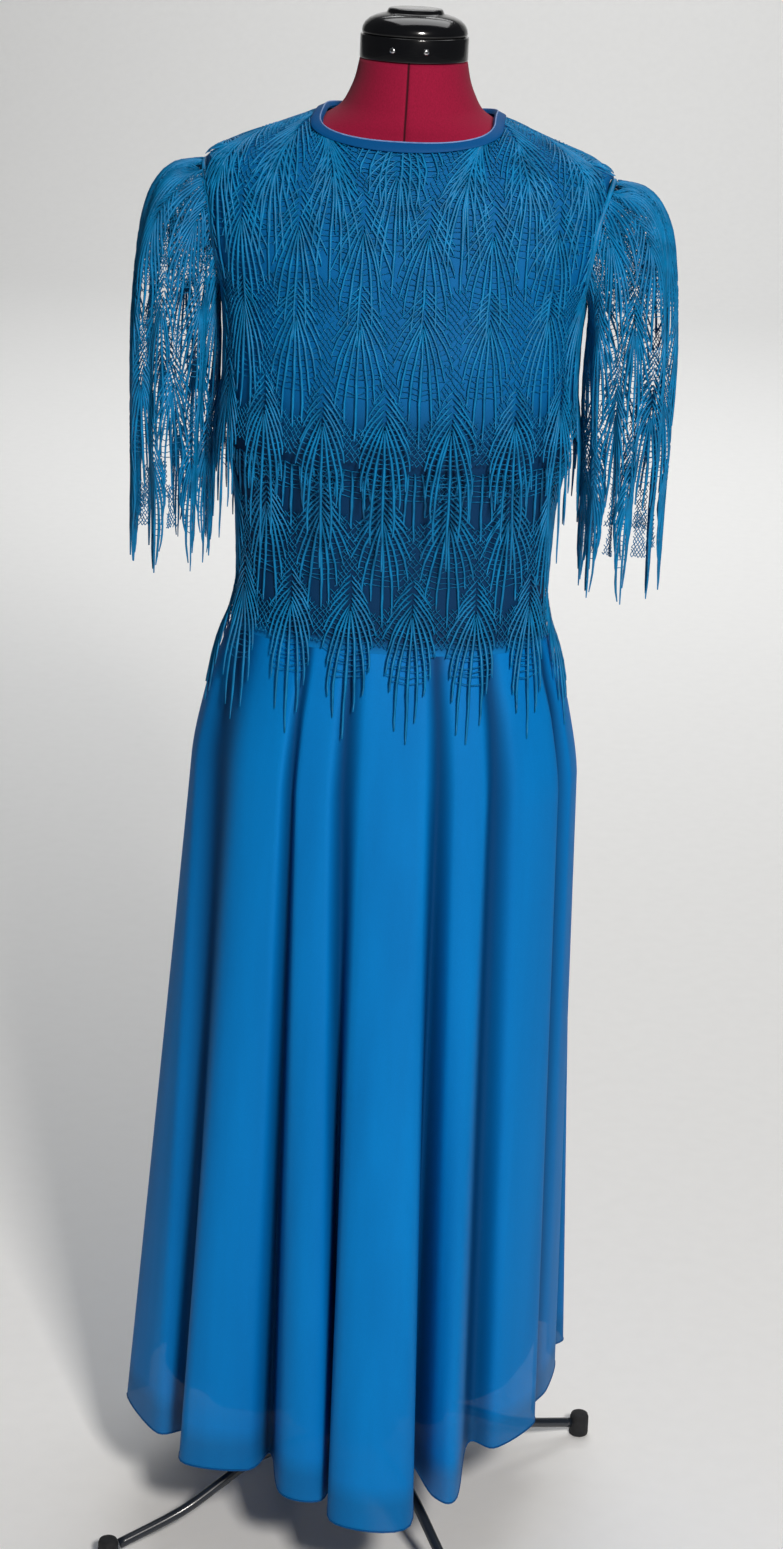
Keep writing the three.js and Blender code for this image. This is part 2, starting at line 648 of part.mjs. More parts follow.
// A point of the lining, which follows the skirt's hollows and only part of its ridges.
function onLining(fold, z) {
  const { ridge, inset } = SKIRT_LINING;
  const above = movedOut(FIGURE, onSection(FIGURE, foldTurn(fold), Math.max(z, HIP_Z)), LINING_OUT).setZ(z);
  const hollows = hemHollows.getPoint((fold / FOLDS.length - 0.5 / FOLDS.length + 1) % 1);
  const hem = hollows.lerp(hemAll.getPoint(lineOf(fold) / FOLD_LINES.length), ridge);
  hem.setLength(hem.length() - inset).setZ(z);
  return above.lerp(hem, Math.max(0, (HIP_Z - z) / (HIP_Z - SKIRT_HEM_Z)));
}

function addSkirtLayer(name, finish, layer, thickness, pointOf) {
  const columns = FOLDS.length * layer.steps;
  const outer = layer.rowsZ.map((z) => range(columns + 1).map((j) => pointOf(j / layer.steps, z)));
  const inner = movedIn(outer, thickness);
  const seams = [0, RIGHT_SIDE_FOLD, CENTRE_BACK_FOLD, FOLDS.length].map((fold) => fold * layer.steps);
  ["front", "back_right", "back_left"].forEach((piece, k) => {
    const pieces = [outer, inner].map((grid) => cut(grid, seams[k], seams[k + 1]));
    add(`${name}_${piece}`, wall(...pieces), finish);
  });
}

// ---- the form ----------------------------------------------------------------------------------------

function addForm() {
  const rings = FIGURE.map(({ z }) =>
    range(FIGURE_SIDES).map((k) => {
      const point = onSection(FIGURE, (2 * Math.PI * k) / FIGURE_SIDES, z);
      return z > NECKLINE.sideZ ? point : movedOut(FIGURE, point, COVERED_FORM_OUT);
    }),
  );
  rings[rings.length - 1].forEach((point) => point.setZ(FORM_BASE_Z));
  add("form_torso", loft(rings), "cover");
  add("neck_band", rod(BAND.radius, BAND.lowZ, BAND.highZ, 0.8, 24), "plastic");
  add("neck_cap", turned(CAP_PROFILE, 24), "plastic");
  for (const [label, side] of [["left", -1], ["right", 1]]) {
    const turn = side * radians(SCREW.turn);
    const out = BAND.radius + SEAM_GAP + SCREW.stand / 2;
    const head = new THREE.CylinderGeometry(SCREW.radius * 0.7, SCREW.radius, SCREW.stand, 12);
    const screw = add(`band_screw_${label}`, head, "screw");
    screw.rotation.z = turn + Math.PI;
    screw.position.set(Math.sin(turn) * out, -Math.cos(turn) * out, (BAND.lowZ + BAND.highZ) / 2);
  }
}

function addStand() {
  add("pole", rod(POLE.radius, POLE.lowZ, FORM_BASE_Z - SEAM_GAP, 0.6, 16), "steel");
  add("base_hub", rod(HUB.radius, HUB.lowZ, HUB.highZ, 3, 16), "steel");
  for (const k of range(LEG.count)) {
    const turn = radians(LEG.firstTurn + (360 / LEG.count) * k);
    const at = (r, z) => new THREE.Vector3(Math.sin(turn) * r, -Math.cos(turn) * r, z);
    const between = (shareR, shareZ) =>
      at(mix(LEG.innerR, LEG.outerR, shareR), mix(LEG.innerZ, LEG.outerZ, shareZ));
    const route = new THREE.CatmullRomCurve3([
      between(0, 0),
      between(0.33, 0.14),
      between(0.72, 0.74),
      between(1, 1),
    ]);
    const circle = new THREE.Shape().absarc(0, 0, LEG.radius, 0, 2 * Math.PI);
    const tube = new THREE.ExtrudeGeometry(circle, { steps: 7, curveSegments: 5, extrudePath: route });
    add(`leg_${k + 1}`, tube, "steel");
    const footR = LEG.outerR + FOOT.gap + FOOT.radius;
    const foot = add(`foot_${k + 1}`, rod(FOOT.radius, 0, FOOT.height, 2, 12), "rubber");
    foot.position.copy(at(footR, 0));
  }
}

addForm();
addStand();
addBodice();
addLaceTiers();
addBindingAndButtons();
addSleeves();
addSkirtLayer("skirt", "chiffon", SKIRT, CHIFFON, onSkirt);
addSkirtLayer("skirt_lining", "lining", SKIRT_LINING, LINING, onLining);

export default gown;
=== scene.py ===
"""An evening gown on a dress form: lace over a crepe bodice, open lace sleeves and a chiffon skirt.

Lengths are metres. Tables are in millimetres where their columns say so, and are scaled once.
The gown faces -Y, +Z is up, and an angle is measured from the front towards +X.
"""
import math
from collections import namedtuple

import bpy
import numpy as np
from mathutils import Matrix, Vector


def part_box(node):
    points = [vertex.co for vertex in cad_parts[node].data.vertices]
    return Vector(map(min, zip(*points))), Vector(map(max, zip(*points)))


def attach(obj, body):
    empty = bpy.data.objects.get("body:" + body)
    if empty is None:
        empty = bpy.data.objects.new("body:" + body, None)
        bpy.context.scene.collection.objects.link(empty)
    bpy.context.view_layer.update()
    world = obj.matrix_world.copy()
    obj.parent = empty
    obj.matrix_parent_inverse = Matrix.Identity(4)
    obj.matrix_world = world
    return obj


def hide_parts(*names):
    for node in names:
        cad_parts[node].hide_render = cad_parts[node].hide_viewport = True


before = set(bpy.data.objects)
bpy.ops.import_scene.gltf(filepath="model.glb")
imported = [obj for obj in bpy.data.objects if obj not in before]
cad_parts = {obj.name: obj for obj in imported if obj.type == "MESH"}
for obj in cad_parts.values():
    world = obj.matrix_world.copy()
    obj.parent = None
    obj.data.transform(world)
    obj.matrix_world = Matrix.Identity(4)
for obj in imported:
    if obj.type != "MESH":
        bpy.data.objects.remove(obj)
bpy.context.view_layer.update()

bl_info = {
    "name": "Lace evening gown",
    "version": (1, 0, 0),
    "blender": (4, 5, 0),
    "location": "View3D > Sidebar > Gown",
    "description": "Dresses the packed gown and its form: cloth, lace, fittings, light and camera",
    "category": "Object",
}

MM = 0.001
DEG = math.pi / 180
QUARTER = math.pi / 2
SEED = 1986

# ---- sizes shared with the solids --------------------------------------------------------------------

FORM_CLEARANCE = 2.4 * MM
CREPE = 1.2 * MM
LACE_CLEARANCE = 0.7 * MM
LACE = 1.5 * MM
LINING = 1.0 * MM
LINING_CLEARANCE = 0.9 * MM
CHIFFON = 1.2 * MM
BODICE_OUT = FORM_CLEARANCE + CREPE
LACE_OUT = BODICE_OUT + LACE_CLEARANCE + LACE
LINING_OUT = FORM_CLEARANCE + LINING
SKIRT_OUT = LINING_OUT + LINING_CLEARANCE + CHIFFON

SHOULDER_ROW = 1.425
SHOULDER_END = 1.4444
DROPPED_WAIST = 0.985
HIP = 0.860
SKIRT_HEM = 0.124
LINING_HEM = 0.166
FORM_BASE = 0.830

Neckline = namedtuple("Neckline", "front back side power share")
NECKLINE = Neckline(front=1.473, back=1.489, side=1.494, power=2.2, share=0.5)
Armhole = namedtuple("Armhole", "centre half_height half_depth")
ARMHOLE = Armhole(centre=1.388, half_height=0.057, half_depth=0.046)

# Level sections in millimetres: an oval of that power at each height.
Section = namedtuple("Section", "z width front back power")
FIGURE_ROWS = [
    Section(1544.6, 50, 50, 50, 2.0),
    Section(1528, 53.5, 53, 53, 2.0),
    Section(1514, 59, 56, 56, 2.0),
    Section(1503, 65.5, 59, 58, 2.0),
    Section(1494, 78, 62, 60, 2.1),
    Section(1480, 113, 67, 64, 2.2),
    Section(1466, 148, 75, 72, 2.2),
    Section(1453, 178, 82, 79, 2.2),
    Section(1444, 189, 87, 84, 2.2),
    Section(1425, 191, 95, 91, 2.2),
    Section(1388, 187, 105, 98, 2.2),
    Section(1331, 168, 116, 101, 2.2),
    Section(1285, 164, 126, 101, 2.2),
    Section(1240, 164, 128, 98, 2.2),
    Section(1185, 159, 118, 93, 2.2),
    Section(1115, 149, 102, 88, 2.2),
    Section(1048, 147, 96, 88, 2.2),
    Section(985, 155, 104, 101, 2.2),
    Section(930, 168, 111, 113, 2.2),
    Section(860, 175, 114, 121, 2.2),
    Section(830, 173, 112, 119, 2.2),
]
# Where each lace tier hangs free, less the lace's own distance from the figure.
UPPER_HANG_ROWS = [
    Section(1250, 164.2, 128.7, 99.7, 2.2),
    Section(1218, 168.2, 128.7, 101.2, 2.2),
    Section(1181, 171.2, 127.2, 102.2, 2.2),
    Section(1085, 172.2, 123.2, 103.2, 2.2),
]
LOWER_HANG_ROWS = [
    Section(1015, 152.2, 101.7, 97.7, 2.2),
    Section(985, 163.2, 112.2, 109.2, 2.2),
    Section(915, 179.2, 122.2, 125.2, 2.2),
]

# Folds of the skirt, going round from the left side seam. A fold has two edges and then a hollow. Each
# line gives the degrees at which it leaves the seam, and where it ends in plan at the hem, in millimetres.
FoldLine = namedtuple("FoldLine", "turn x y")
Fold = namedtuple("Fold", "first second hollow")
FOLDS = [
    Fold(FoldLine(-108, -230, 70), FoldLine(-98, -239, 14), FoldLine(-93, -228, -14)),
    Fold(FoldLine(-88, -247, -38), FoldLine(-72, -203, -105), FoldLine(-60, -172, -98)),
    Fold(FoldLine(-41, -167, -156), FoldLine(-27, -98, -160), FoldLine(-24, -78, -124)),
    Fold(FoldLine(-20.5, -58, -196), FoldLine(-11.5, -16, -203), FoldLine(-7.5, -6, -158)),
    Fold(FoldLine(-2, 0, -238), FoldLine(14, 78, -235), FoldLine(18.5, 67, -118)),
    Fold(FoldLine(24, 98, -176), FoldLine(33, 122, -177), FoldLine(38, 126, -72)),
    Fold(FoldLine(46, 156, -76), FoldLine(66, 193, -24), FoldLine(72, 190, 12)),
    Fold(FoldLine(78, 204, 48), FoldLine(92, 211, 106), FoldLine(99, 200, 134)),
    Fold(FoldLine(106, 218, 160), FoldLine(119, 190, 196), FoldLine(126, 152, 172)),
    Fold(FoldLine(133, 134, 222), FoldLine(143, 102, 230), FoldLine(149, 82, 184)),
    Fold(FoldLine(155, 64, 244), FoldLine(165, 34, 240), FoldLine(169, 26, 192)),
    Fold(FoldLine(175, 12, 244), FoldLine(185, -20, 246), FoldLine(192, -42, 188)),
    Fold(FoldLine(200, -74, 236), FoldLine(213, -120, 222), FoldLine(221, -132, 170)),
    Fold(FoldLine(229, -168, 190), FoldLine(241, -206, 158), FoldLine(246, -200, 104)),
]
FOLD_RISE_SEAM = 2.5 * MM
FOLD_RISE_HIP = 13 * MM
SKIRT_TURNING = 17 * MM  # the chiffon goes on above the waist seam by this much, under the lace
LINING_RIDGE = 0.3
LINING_INSET = 20 * MM

# Rings of the sleeve below the armhole, in millimetres.
Ring = namedtuple("Ring", "outer_x outer_z inner_x inner_z depth folds")
SLEEVE_RINGS = [
    Ring(219, 1440, 177, 1318, 57, 0.8),
    Ring(238, 1421, 178, 1297, 66, 2.0),
    Ring(249, 1388, 178, 1272, 71, 3.2),
    Ring(255, 1330, 179, 1240, 73, 4.2),
    Ring(257, 1258, 182, 1202, 72, 5.0),
    Ring(256, 1190, 184.5, 1163, 70, 5.6),
    Ring(254, 1124, 185.5, 1118, 67, 6.0),
]
SLEEVE_FOLDS = 8
SLEEVE_DROP = 56 * MM
SLEEVE_SEAM_OUT = LACE_OUT + 1.4 * MM
SLEEVE_SEAM_CLOSER = 2.6 * MM  # how much closer the seam is at the top of the shoulder

# ---- sizes of the fittings ---------------------------------------------------------------------------

# The neck cap's outline from its underside up, in millimetres.
CAP_OUTLINE = [
    (0, 0), (47.6, 0), (48.6, 0.7), (48.9, 3), (48.2, 6.4), (46.2, 10), (42.6, 13.4), (37, 16.2),
    (30.5, 18.1), (27.2, 18.8), (26.3, 19.4), (25.8, 21), (25, 22.6), (23.6, 23.3), (21.4, 23.55), (0, 23.6),
]
SCREW_RADIUS = 2.7 * MM
SCREW_STAND = 1.5 * MM
BUTTONS = 8
BUTTON_RADIUS = 5 * MM
BUTTON_THICK = 3.4 * MM
LEGS = 4
LEG_RADIUS = 5.5 * MM
LEG_FIRST_TURN = 34  # degrees from the front
# A leg's line from the hub to its foot: shares of its run and of its fall, which are in millimetres.
LEG_RUN = (27.6, 280)
LEG_FALL = (92, 17)
LEG_RUN_SHARES = np.array([0, 0.33, 0.72, 1.0])
LEG_FALL_SHARES = np.array([0, 0.14, 0.74, 1.0])

# The binding's section: how far down from the neckline and how far out from the figure, in millimetres.
BINDING_SECTION = [
    (-2.6, 2.6), (-2.8, 5.0), (-2.6, 6.6), (-1.8, 7.5), (0, 7.8), (4.4, 7.9), (7.2, 7.8), (8.0, 7.4),
    (7.8, 6.9), (4, 6.8), (0, 6.7), (-1.3, 6.3), (-1.5, 4.5), (-1.5, 2.6),
]
BINDING_FOLD = 3  # the place in the section where the satin is pressed into a fold

# ---- the lace's pattern ------------------------------------------------------------------------------

FAN_PITCH = 59 * MM
# One half of a fan, from its outer top cord to its middle one: where the cord leaves the fan's axis, how
# far it leans from the axis at first, its length, and how much of the lean it loses on the way.
Frond = namedtuple("Frond", "start lean length bend width")
FAN = [
    Frond(0, 42, 17, 0.05, 0.8),
    Frond(6, 42, 27, 0.1, 0.9),
    Frond(12, 42, 36, 0.15, 1.0),
    Frond(18, 40, 45, 0.3, 1.05),
    Frond(23, 36, 54, 0.5, 1.1),
    Frond(28, 29, 64, 0.7, 1.15),
    Frond(32, 21, 76, 0.85, 1.2),
    Frond(35, 12, 88, 1.0, 1.25),
]
FAN_MIDDLE = Frond(37, 0, 98, 0.0, 1.3)
# Half the width of a fan at distances below its top, in millimetres.
FAN_OUTLINE = [(0, 3), (12, 12), (30, 22), (55, 27), (75, 26), (95, 20), (120, 12), (135, 0)]

# Rows of fans: how far the tops are below the reference height, whether they stand between those of
# the row above, how much longer the middle cords are than in a plain row, and how far the inner cords
# draw together at their ends.
FanRow = namedtuple("FanRow", "top between stretch draw_in", defaults=(0.0,))
UPPER_ROWS = [
    FanRow(-98, 0.0, 1.0),
    FanRow(-58, 0.0, 1.0),
    FanRow(-9, 0.5, 1.0),
    FanRow(74, 0.5, 1.0),
    FanRow(167, 0.0, 1.3, 0.35),
]
LOWER_ROWS = [
    FanRow(-92, 0.5, 1.0),
    FanRow(-2, 0.0, 1.0),
    FanRow(90, 0.5, 1.25, 0.3),
]
SLEEVE_ROWS = [
    FanRow(-205, 0.0, 1.0),
    FanRow(-130, 0.5, 1.0),
    FanRow(-50, 0.0, 1.0),
    FanRow(28, 0.5, 1.0),
    FanRow(103, 0.0, 1.06, 1.1),
]
# The sleeve's width as hung, as a share of the flat cloth's: below the armhole and at its head.
SLEEVE_GATHER = 0.77
SLEEVE_HEAD_GATHER = 0.6


# ---- colours -----------------------------------------------------------------------------------------

def linear(hex_colour):
    """An sRGB hex colour as Blender's linear RGBA."""
    channels = [int(hex_colour[k:k + 2], 16) / 255 for k in (0, 2, 4)]
    curve = [c / 12.92 if c <= 0.04045 else ((c + 0.055) / 1.055) ** 2.4 for c in channels]
    return (*curve, 1.0)


# ---- curves and surfaces -----------------------------------------------------------------------------

def smooth_curve(knots, values, at):
    """Values at places between rising knots, on a curve that doesn't overshoot them."""
    at = np.clip(at, knots[0], knots[-1])
    slope = np.diff(values, axis=0) / np.diff(knots)[:, None]
    before, after = slope[:-1], slope[1:]
    agree = before * after > 0
    tangent = np.zeros_like(values)
    tangent[1:-1] = np.where(agree, 2 * before * after / np.where(agree, before + after, 1), 0)
    tangent[0], tangent[-1] = slope[0], slope[-1]
    k = np.clip(np.searchsorted(knots, at, side="right") - 1, 0, len(knots) - 2)
    gap = (knots[k + 1] - knots[k])[..., None]
    t = ((at - knots[k]) / gap[..., 0])[..., None]
    rise = t * t * (3 - 2 * t)
    ends = values[k] * (1 - rise) + values[k + 1] * rise
    return ends + gap * t * (1 - t) * ((1 - t) * tangent[k] - t * tangent[k + 1])


class Profile:
    """Level oval sections by height, joined on smooth curves."""

    def __init__(self, rows):
        rows = sorted(rows, key=lambda row: row.z)
        self.heights = np.array([row.z for row in rows]) * MM
        self.sizes = np.array([[row.width * MM, row.front * MM, row.back * MM, row.power] for row in rows])

    def sections(self, z):
        """Widths, front and back depths and powers at heights."""
        return np.moveaxis(smooth_curve(self.heights, self.sizes, z), -1, 0)

    def point(self, angle, z):
        """Points of the surface at angles and heights."""
        angle, z = np.broadcast_arrays(np.asarray(angle, float), np.asarray(z, float))
        width, front, back, power = self.sections(z)
        sine, cosine = np.sin(angle), np.cos(angle)
        depth = np.where(cosine > 0, front, back)
        x = width * np.sign(sine) * np.abs(sine) ** (2 / power)
        y = -depth * np.sign(cosine) * np.abs(cosine) ** (2 / power)
        return np.stack([x, y, z], axis=-1)

    def reach(self, x, y, z):
        """1 on the surface, and less inside."""
        width, front, back, power = self.sections(z)
        depth = np.where(y < 0, front, back)
        return (np.abs(x) / width) ** power + (np.abs(y) / depth) ** power

    def over(self, x, y):
        """The points of the shoulders' surface over places in plan."""
        low = np.full(np.shape(x), ARMHOLE.centre)
        high = np.full(np.shape(x), self.heights[-1])
        for _ in range(34):
            middle = (low + high) / 2
            inside = self.reach(x, y, middle) < 1
            low, high = np.where(inside, middle, low), np.where(inside, high, middle)
        return np.stack([x, y, low], axis=-1)


FIGURE = Profile(FIGURE_ROWS)
UPPER_TIER = Profile([row for row in FIGURE_ROWS if row.z > 1260] + UPPER_HANG_ROWS)
LOWER_TIER = Profile([row for row in FIGURE_ROWS if 1030 < row.z < 1200] + LOWER_HANG_ROWS)


def evenly(line, count):
    """The points of a polyline, moved along it to be equally far apart."""
    steps = np.linalg.norm(np.diff(line, axis=0), axis=1)
    along = np.concatenate([[0], np.cumsum(steps)])
    at = np.linspace(0, along[-1], count)
    return np.stack([np.interp(at, along, line[:, k]) for k in range(3)], axis=1)


def on_armhole(side, face, z):
    """Points of the armhole's edge at heights, on a side and on the front (-1) or back (1)."""
    section = FIGURE.sections(np.asarray(z, float))
    lift = np.minimum(1, np.abs(z - ARMHOLE.centre) / ARMHOLE.half_height)
    y = ARMHOLE.half_depth * np.sqrt(1 - lift * lift)
    depth = np.where(face < 0, section[1], section[2])
    x = section[0] * (1 - (y / depth) ** section[3]) ** (1 / section[3])
    return np.stack(np.broadcast_arrays(side * x, face * y, z), axis=-1)


def panel_end(face, z):
    """The angle at which the front or back ends at a height: at the armhole or the side seam."""
    section = FIGURE.sections(np.asarray(float(z)))
    y = abs(float(on_armhole(1, face, z)[1]))
    depth = section[1] if face < 0 else section[2]
    return math.acos((y / float(depth)) ** (float(section[3]) / 2))


def neckline_point(face, angle):
    """Points of the neckline, which rises from its middle to the shoulders."""
    middle = NECKLINE.front if face < 0 else NECKLINE.back
    z = middle + (NECKLINE.side - middle) * np.abs(np.sin(angle)) ** NECKLINE.power
    return FIGURE.point(angle, z)


def shoulder_rows(face, columns, shares):
    """Rows of a panel from its highest level row (share 0) to the neckline and shoulder seam (share 1)."""
    middle = 0 if face < 0 else math.pi
    across = np.linspace(-1, 1, columns)
    end = panel_end(face, SHOULDER_ROW)
    fine = FIGURE.point(middle + np.linspace(-1, 1, 4 * columns) * end, SHOULDER_ROW)
    foot = evenly(fine, columns)
    side = np.sign(foot[:, 0])
    past = np.clip((np.abs(across) - NECKLINE.share) / (1 - NECKLINE.share), 0, 1)
    neck_width, end_width = (float(FIGURE.sections(np.array(z))[0]) for z in (NECKLINE.side, SHOULDER_END))
    seam = FIGURE.over(side * (neck_width + (end_width - neck_width) * past), np.zeros(columns))
    neck_angle = middle + np.clip(across / NECKLINE.share, -1, 1) * QUARTER
    top = np.where((past > 0)[:, None], seam, neckline_point(face, neck_angle))
    outer_foot = on_armhole(side, face, SHOULDER_ROW)
    outer_top = on_armhole(side, face, SHOULDER_END)
    lean = np.abs(across)[:, None] ** 8
    rows = []
    for share in shares:
        edge = on_armhole(side, face, SHOULDER_ROW + (SHOULDER_END - SHOULDER_ROW) * share)
        straight = outer_foot * (1 - share) + outer_top * share
        plan = foot * (1 - share) + top * share + lean * (edge - straight)
        rows.append(FIGURE.over(plan[:, 0], plan[:, 1]))
    return rows


def level_rows(profile, face, columns, heights):
    """Level rows of a front or back, each from edge to edge with even steps."""
    middle = 0 if face < 0 else math.pi
    rows = []
    for z in heights:
        end = panel_end(face, z)
        fine = profile.point(middle + np.linspace(-1, 1, 4 * columns) * end, z)
        rows.append(evenly(fine, columns))
    return rows


def down_columns(points, reference):
    """How far each point of a grid is below a height, along its column."""
    steps = np.linalg.norm(np.diff(points, axis=0), axis=2)
    along = np.vstack([np.zeros(points.shape[1]), np.cumsum(steps, axis=0)])
    start = [np.interp(-reference, -points[:, j, 2], along[:, j]) for j in range(points.shape[1])]
    return along - np.array(start)


def down_level_rows(points, widths, reference):
    """How far each point of level rows is below a height, where the rows' widths differ: a step goes
    between places that are as far from the middle column."""
    rows, columns = points.shape[:2]
    share = np.linspace(-1, 1, columns)
    down = np.zeros((rows, columns))
    start = int(np.argmin(np.abs(points[:, columns // 2, 2] - reference)))
    order = [(i, 1) for i in range(start + 1, rows)] + [(i, -1) for i in range(start - 1, -1, -1)]
    for i, way in order:
        u, near_u = share * widths[i], share * widths[i - way]
        near = np.stack([np.interp(u, near_u, points[i - way, :, k]) for k in range(3)], axis=1)
        step = np.linalg.norm(points[i] - near, axis=1)
        down[i] = np.interp(u, near_u, down[i - way]) + way * step
    return down


class Cloth:
    """A surface as a grid of points, rows from the top, and the flat lace pattern that lies on it. gather
    is the width as hung, as a share of the flat cloth's: one number, or one for each row."""

    def __init__(self, points, reference, gather=1.0, level=False):
        self.points = np.asarray(points)
        across = np.gradient(self.points, axis=1)
        down = np.gradient(self.points, axis=0)
        normal = np.cross(down, across)
        self.normals = normal / np.linalg.norm(normal, axis=2, keepdims=True)
        self.width = np.linalg.norm(np.diff(self.points, axis=1), axis=2).sum(axis=1) / gather
        if level:
            self.down = down_level_rows(self.points, self.width, reference)
        else:
            self.down = down_columns(self.points, reference)

    def moved(self, out):
        """The grid, moved out along the normals."""
        return self.points + self.normals * out

    def place(self, u, v):
        """Points, normals and whether they are on the cloth, for places in the flat pattern: u from the
        middle column and v down from the reference height."""
        rows, columns = self.down.shape
        numbers = np.arange(rows)
        row = np.interp(v, self.down[:, columns // 2], numbers)
        for _ in range(7):
            half = np.interp(row, numbers, self.width) / 2
            column = np.clip((u / half + 1) / 2 * (columns - 1), 0, columns - 1)
            left = np.clip(column.astype(int), 0, columns - 2)
            share = column - left
            line = self.down[:, left] * (1 - share) + self.down[:, left + 1] * share
            above = np.clip((line <= v).sum(axis=0) - 1, 0, rows - 2)
            pick = np.arange(len(u))
            low, high = line[above, pick], line[above + 1, pick]
            row = above + np.clip((v - low) / (high - low), 0, 1)
        inside = (np.abs(u) <= half) & (v >= line[0]) & (v <= line[-1])
        top = np.clip(row.astype(int), 0, rows - 2)
        drop = (row - top)[:, None]
        share = share[:, None]

        def read(grid):
            upper = grid[top, left] * (1 - share) + grid[top, left + 1] * share
            lower = grid[top + 1, left] * (1 - share) + grid[top + 1, left + 1] * share
            return upper * (1 - drop) + lower * drop

        normal = read(self.normals)
        return read(self.points), normal / np.linalg.norm(normal, axis=1, keepdims=True), inside


def body_cloth(profile, face, lowest, reference, top_shares=10, columns=97, spacing=8 * MM):
    """The cloth of a front (-1) or back (1), from its neckline or its highest row to a height."""
    highest = min(SHOULDER_ROW, profile.heights[-1])
    count = max(2, int((highest - lowest) / spacing))
    rows = level_rows(profile, face, columns, np.linspace(highest, lowest, count))
    if top_shares:
        rows = shoulder_rows(face, columns, np.linspace(1, 0, top_shares, endpoint=False)) + rows
    return Cloth(rows, reference)


def armhole_seam(side, turn):
    """The seam of the sleeve round the armhole."""
    seam = on_armhole(
        side, np.where(np.cos(turn) > 0, -1, 1), ARMHOLE.centre + side * np.sin(turn) * ARMHOLE.half_height
    )
    # The seam lies close on the shoulder and stands off a little farther down.
    high = np.clip(side * np.sin(turn), 0, 1) ** 3
    seam[:, 0] += side * (SLEEVE_SEAM_OUT - SLEEVE_SEAM_CLOSER * high)
    return seam


def sleeve_lines(side, turn, count=90):
    """Lines down the sleeve, from the armhole through the rings to the tips: [count, turns, 3]."""
    across, ahead = np.sin(turn), np.cos(turn)
    wave = np.cos(SLEEVE_FOLDS * turn)
    rings = [armhole_seam(side, turn)]
    for ring in SLEEVE_RINGS:
        rise = ring.folds * wave
        x = side * (ring.outer_x + ring.inner_x) / 2 + ((ring.outer_x - ring.inner_x) / 2 + rise) * across
        y = -(ring.depth + rise) * ahead
        z = (ring.outer_z + ring.inner_z) / 2 + side * across * (ring.outer_z - ring.inner_z) / 2
        rings.append(np.stack([x, y, z], axis=1) * MM)
    rings.append(rings[-1] - [0, 0, SLEEVE_DROP + 14 * MM])
    knots = np.arange(len(rings), dtype=float)
    flat = smooth_curve(knots, np.stack(rings).reshape(len(rings), -1), np.linspace(0, knots[-1], count))
    return flat.reshape(count, len(turn), 3)


def sleeve_cloth(side, half_columns=60, rows=84):
    """A sleeve's cloth in level rows. The middle column runs down the outside of the arm, and the rows end
    on the armhole's seam or, below it, under the arm."""
    middle = side * QUARTER
    outermost = evenly(sleeve_lines(side, np.array([middle]))[:, 0], rows)
    grid = []
    for z in outermost[1:, 2]:
        end = math.acos(max(-1, min(1, (z - ARMHOLE.centre) / ARMHOLE.half_height)))
        lines = sleeve_lines(side, middle + np.linspace(-end, end, 2 * half_columns + 1))
        row = np.array([
            [np.interp(-z, -lines[:, j, 2], lines[:, j, k]) for k in range(3)] for j in range(lines.shape[1])
        ])
        before, after = row[:half_columns + 1], row[half_columns:]
        grid.append(np.vstack([evenly(before, half_columns + 1), evenly(after, half_columns + 1)[1:]]))
    gather = np.interp(outermost[1:, 2], [1.33, 1.445], [SLEEVE_GATHER, SLEEVE_HEAD_GATHER])
    return Cloth(grid, 1.30, gather, level=True)


# ---- meshes ------------------------------------------------------------------------------------------

def new_piece(name, vertices, faces, material, smooth=True):
    """An object from vertices and faces, in the scene."""
    mesh = bpy.data.meshes.new(name)
    faces = faces.tolist() if isinstance(faces, np.ndarray) else faces
    mesh.from_pydata(np.asarray(vertices).tolist(), [], faces)
    mesh.materials.append(material)
    if smooth:
        mesh.polygons.foreach_set("use_smooth", [True] * len(mesh.polygons))
    mesh.update()
    piece = bpy.data.objects.new(name, mesh)
    bpy.context.scene.collection.objects.link(piece)
    return piece


def grid_faces(rows, columns, start=0, flip=False, closed=False):
    """Quads of a grid. A closed grid goes on from its last column to its first."""
    index = start + np.arange(rows * columns).reshape(rows, columns)
    if closed:
        index = np.hstack([index, index[:, :1]])
    corners = [index[:-1, :-1], index[1:, :-1], index[1:, 1:], index[:-1, 1:]]
    quads = np.stack(corners, axis=-1).reshape(-1, 4)
    return quads[:, ::-1] if flip else quads


def shell(outer, inner, closed=False):
    """Vertices and faces of a thin wall between an outer and an inner grid."""
    if closed:
        outer, inner = outer[:, :-1], inner[:, :-1]
    rows, columns = outer.shape[:2]
    size = rows * columns
    faces = [
        grid_faces(rows, columns, closed=closed),
        grid_faces(rows, columns, size, flip=True, closed=closed),
    ]
    index = np.arange(size).reshape(rows, columns)
    if closed:
        index = np.hstack([index, index[:, :1]])
        edges = [index[0][::-1], index[-1]]
    else:
        edges = [index[0][::-1], index[-1], index[:, 0], index[::-1, -1]]
    for edge in edges:
        faces.append(np.stack([edge[1:], edge[:-1], edge[:-1] + size, edge[1:] + size], axis=1))
    vertices = np.concatenate([outer.reshape(-1, 3), inner.reshape(-1, 3)])
    return vertices, np.concatenate(faces)


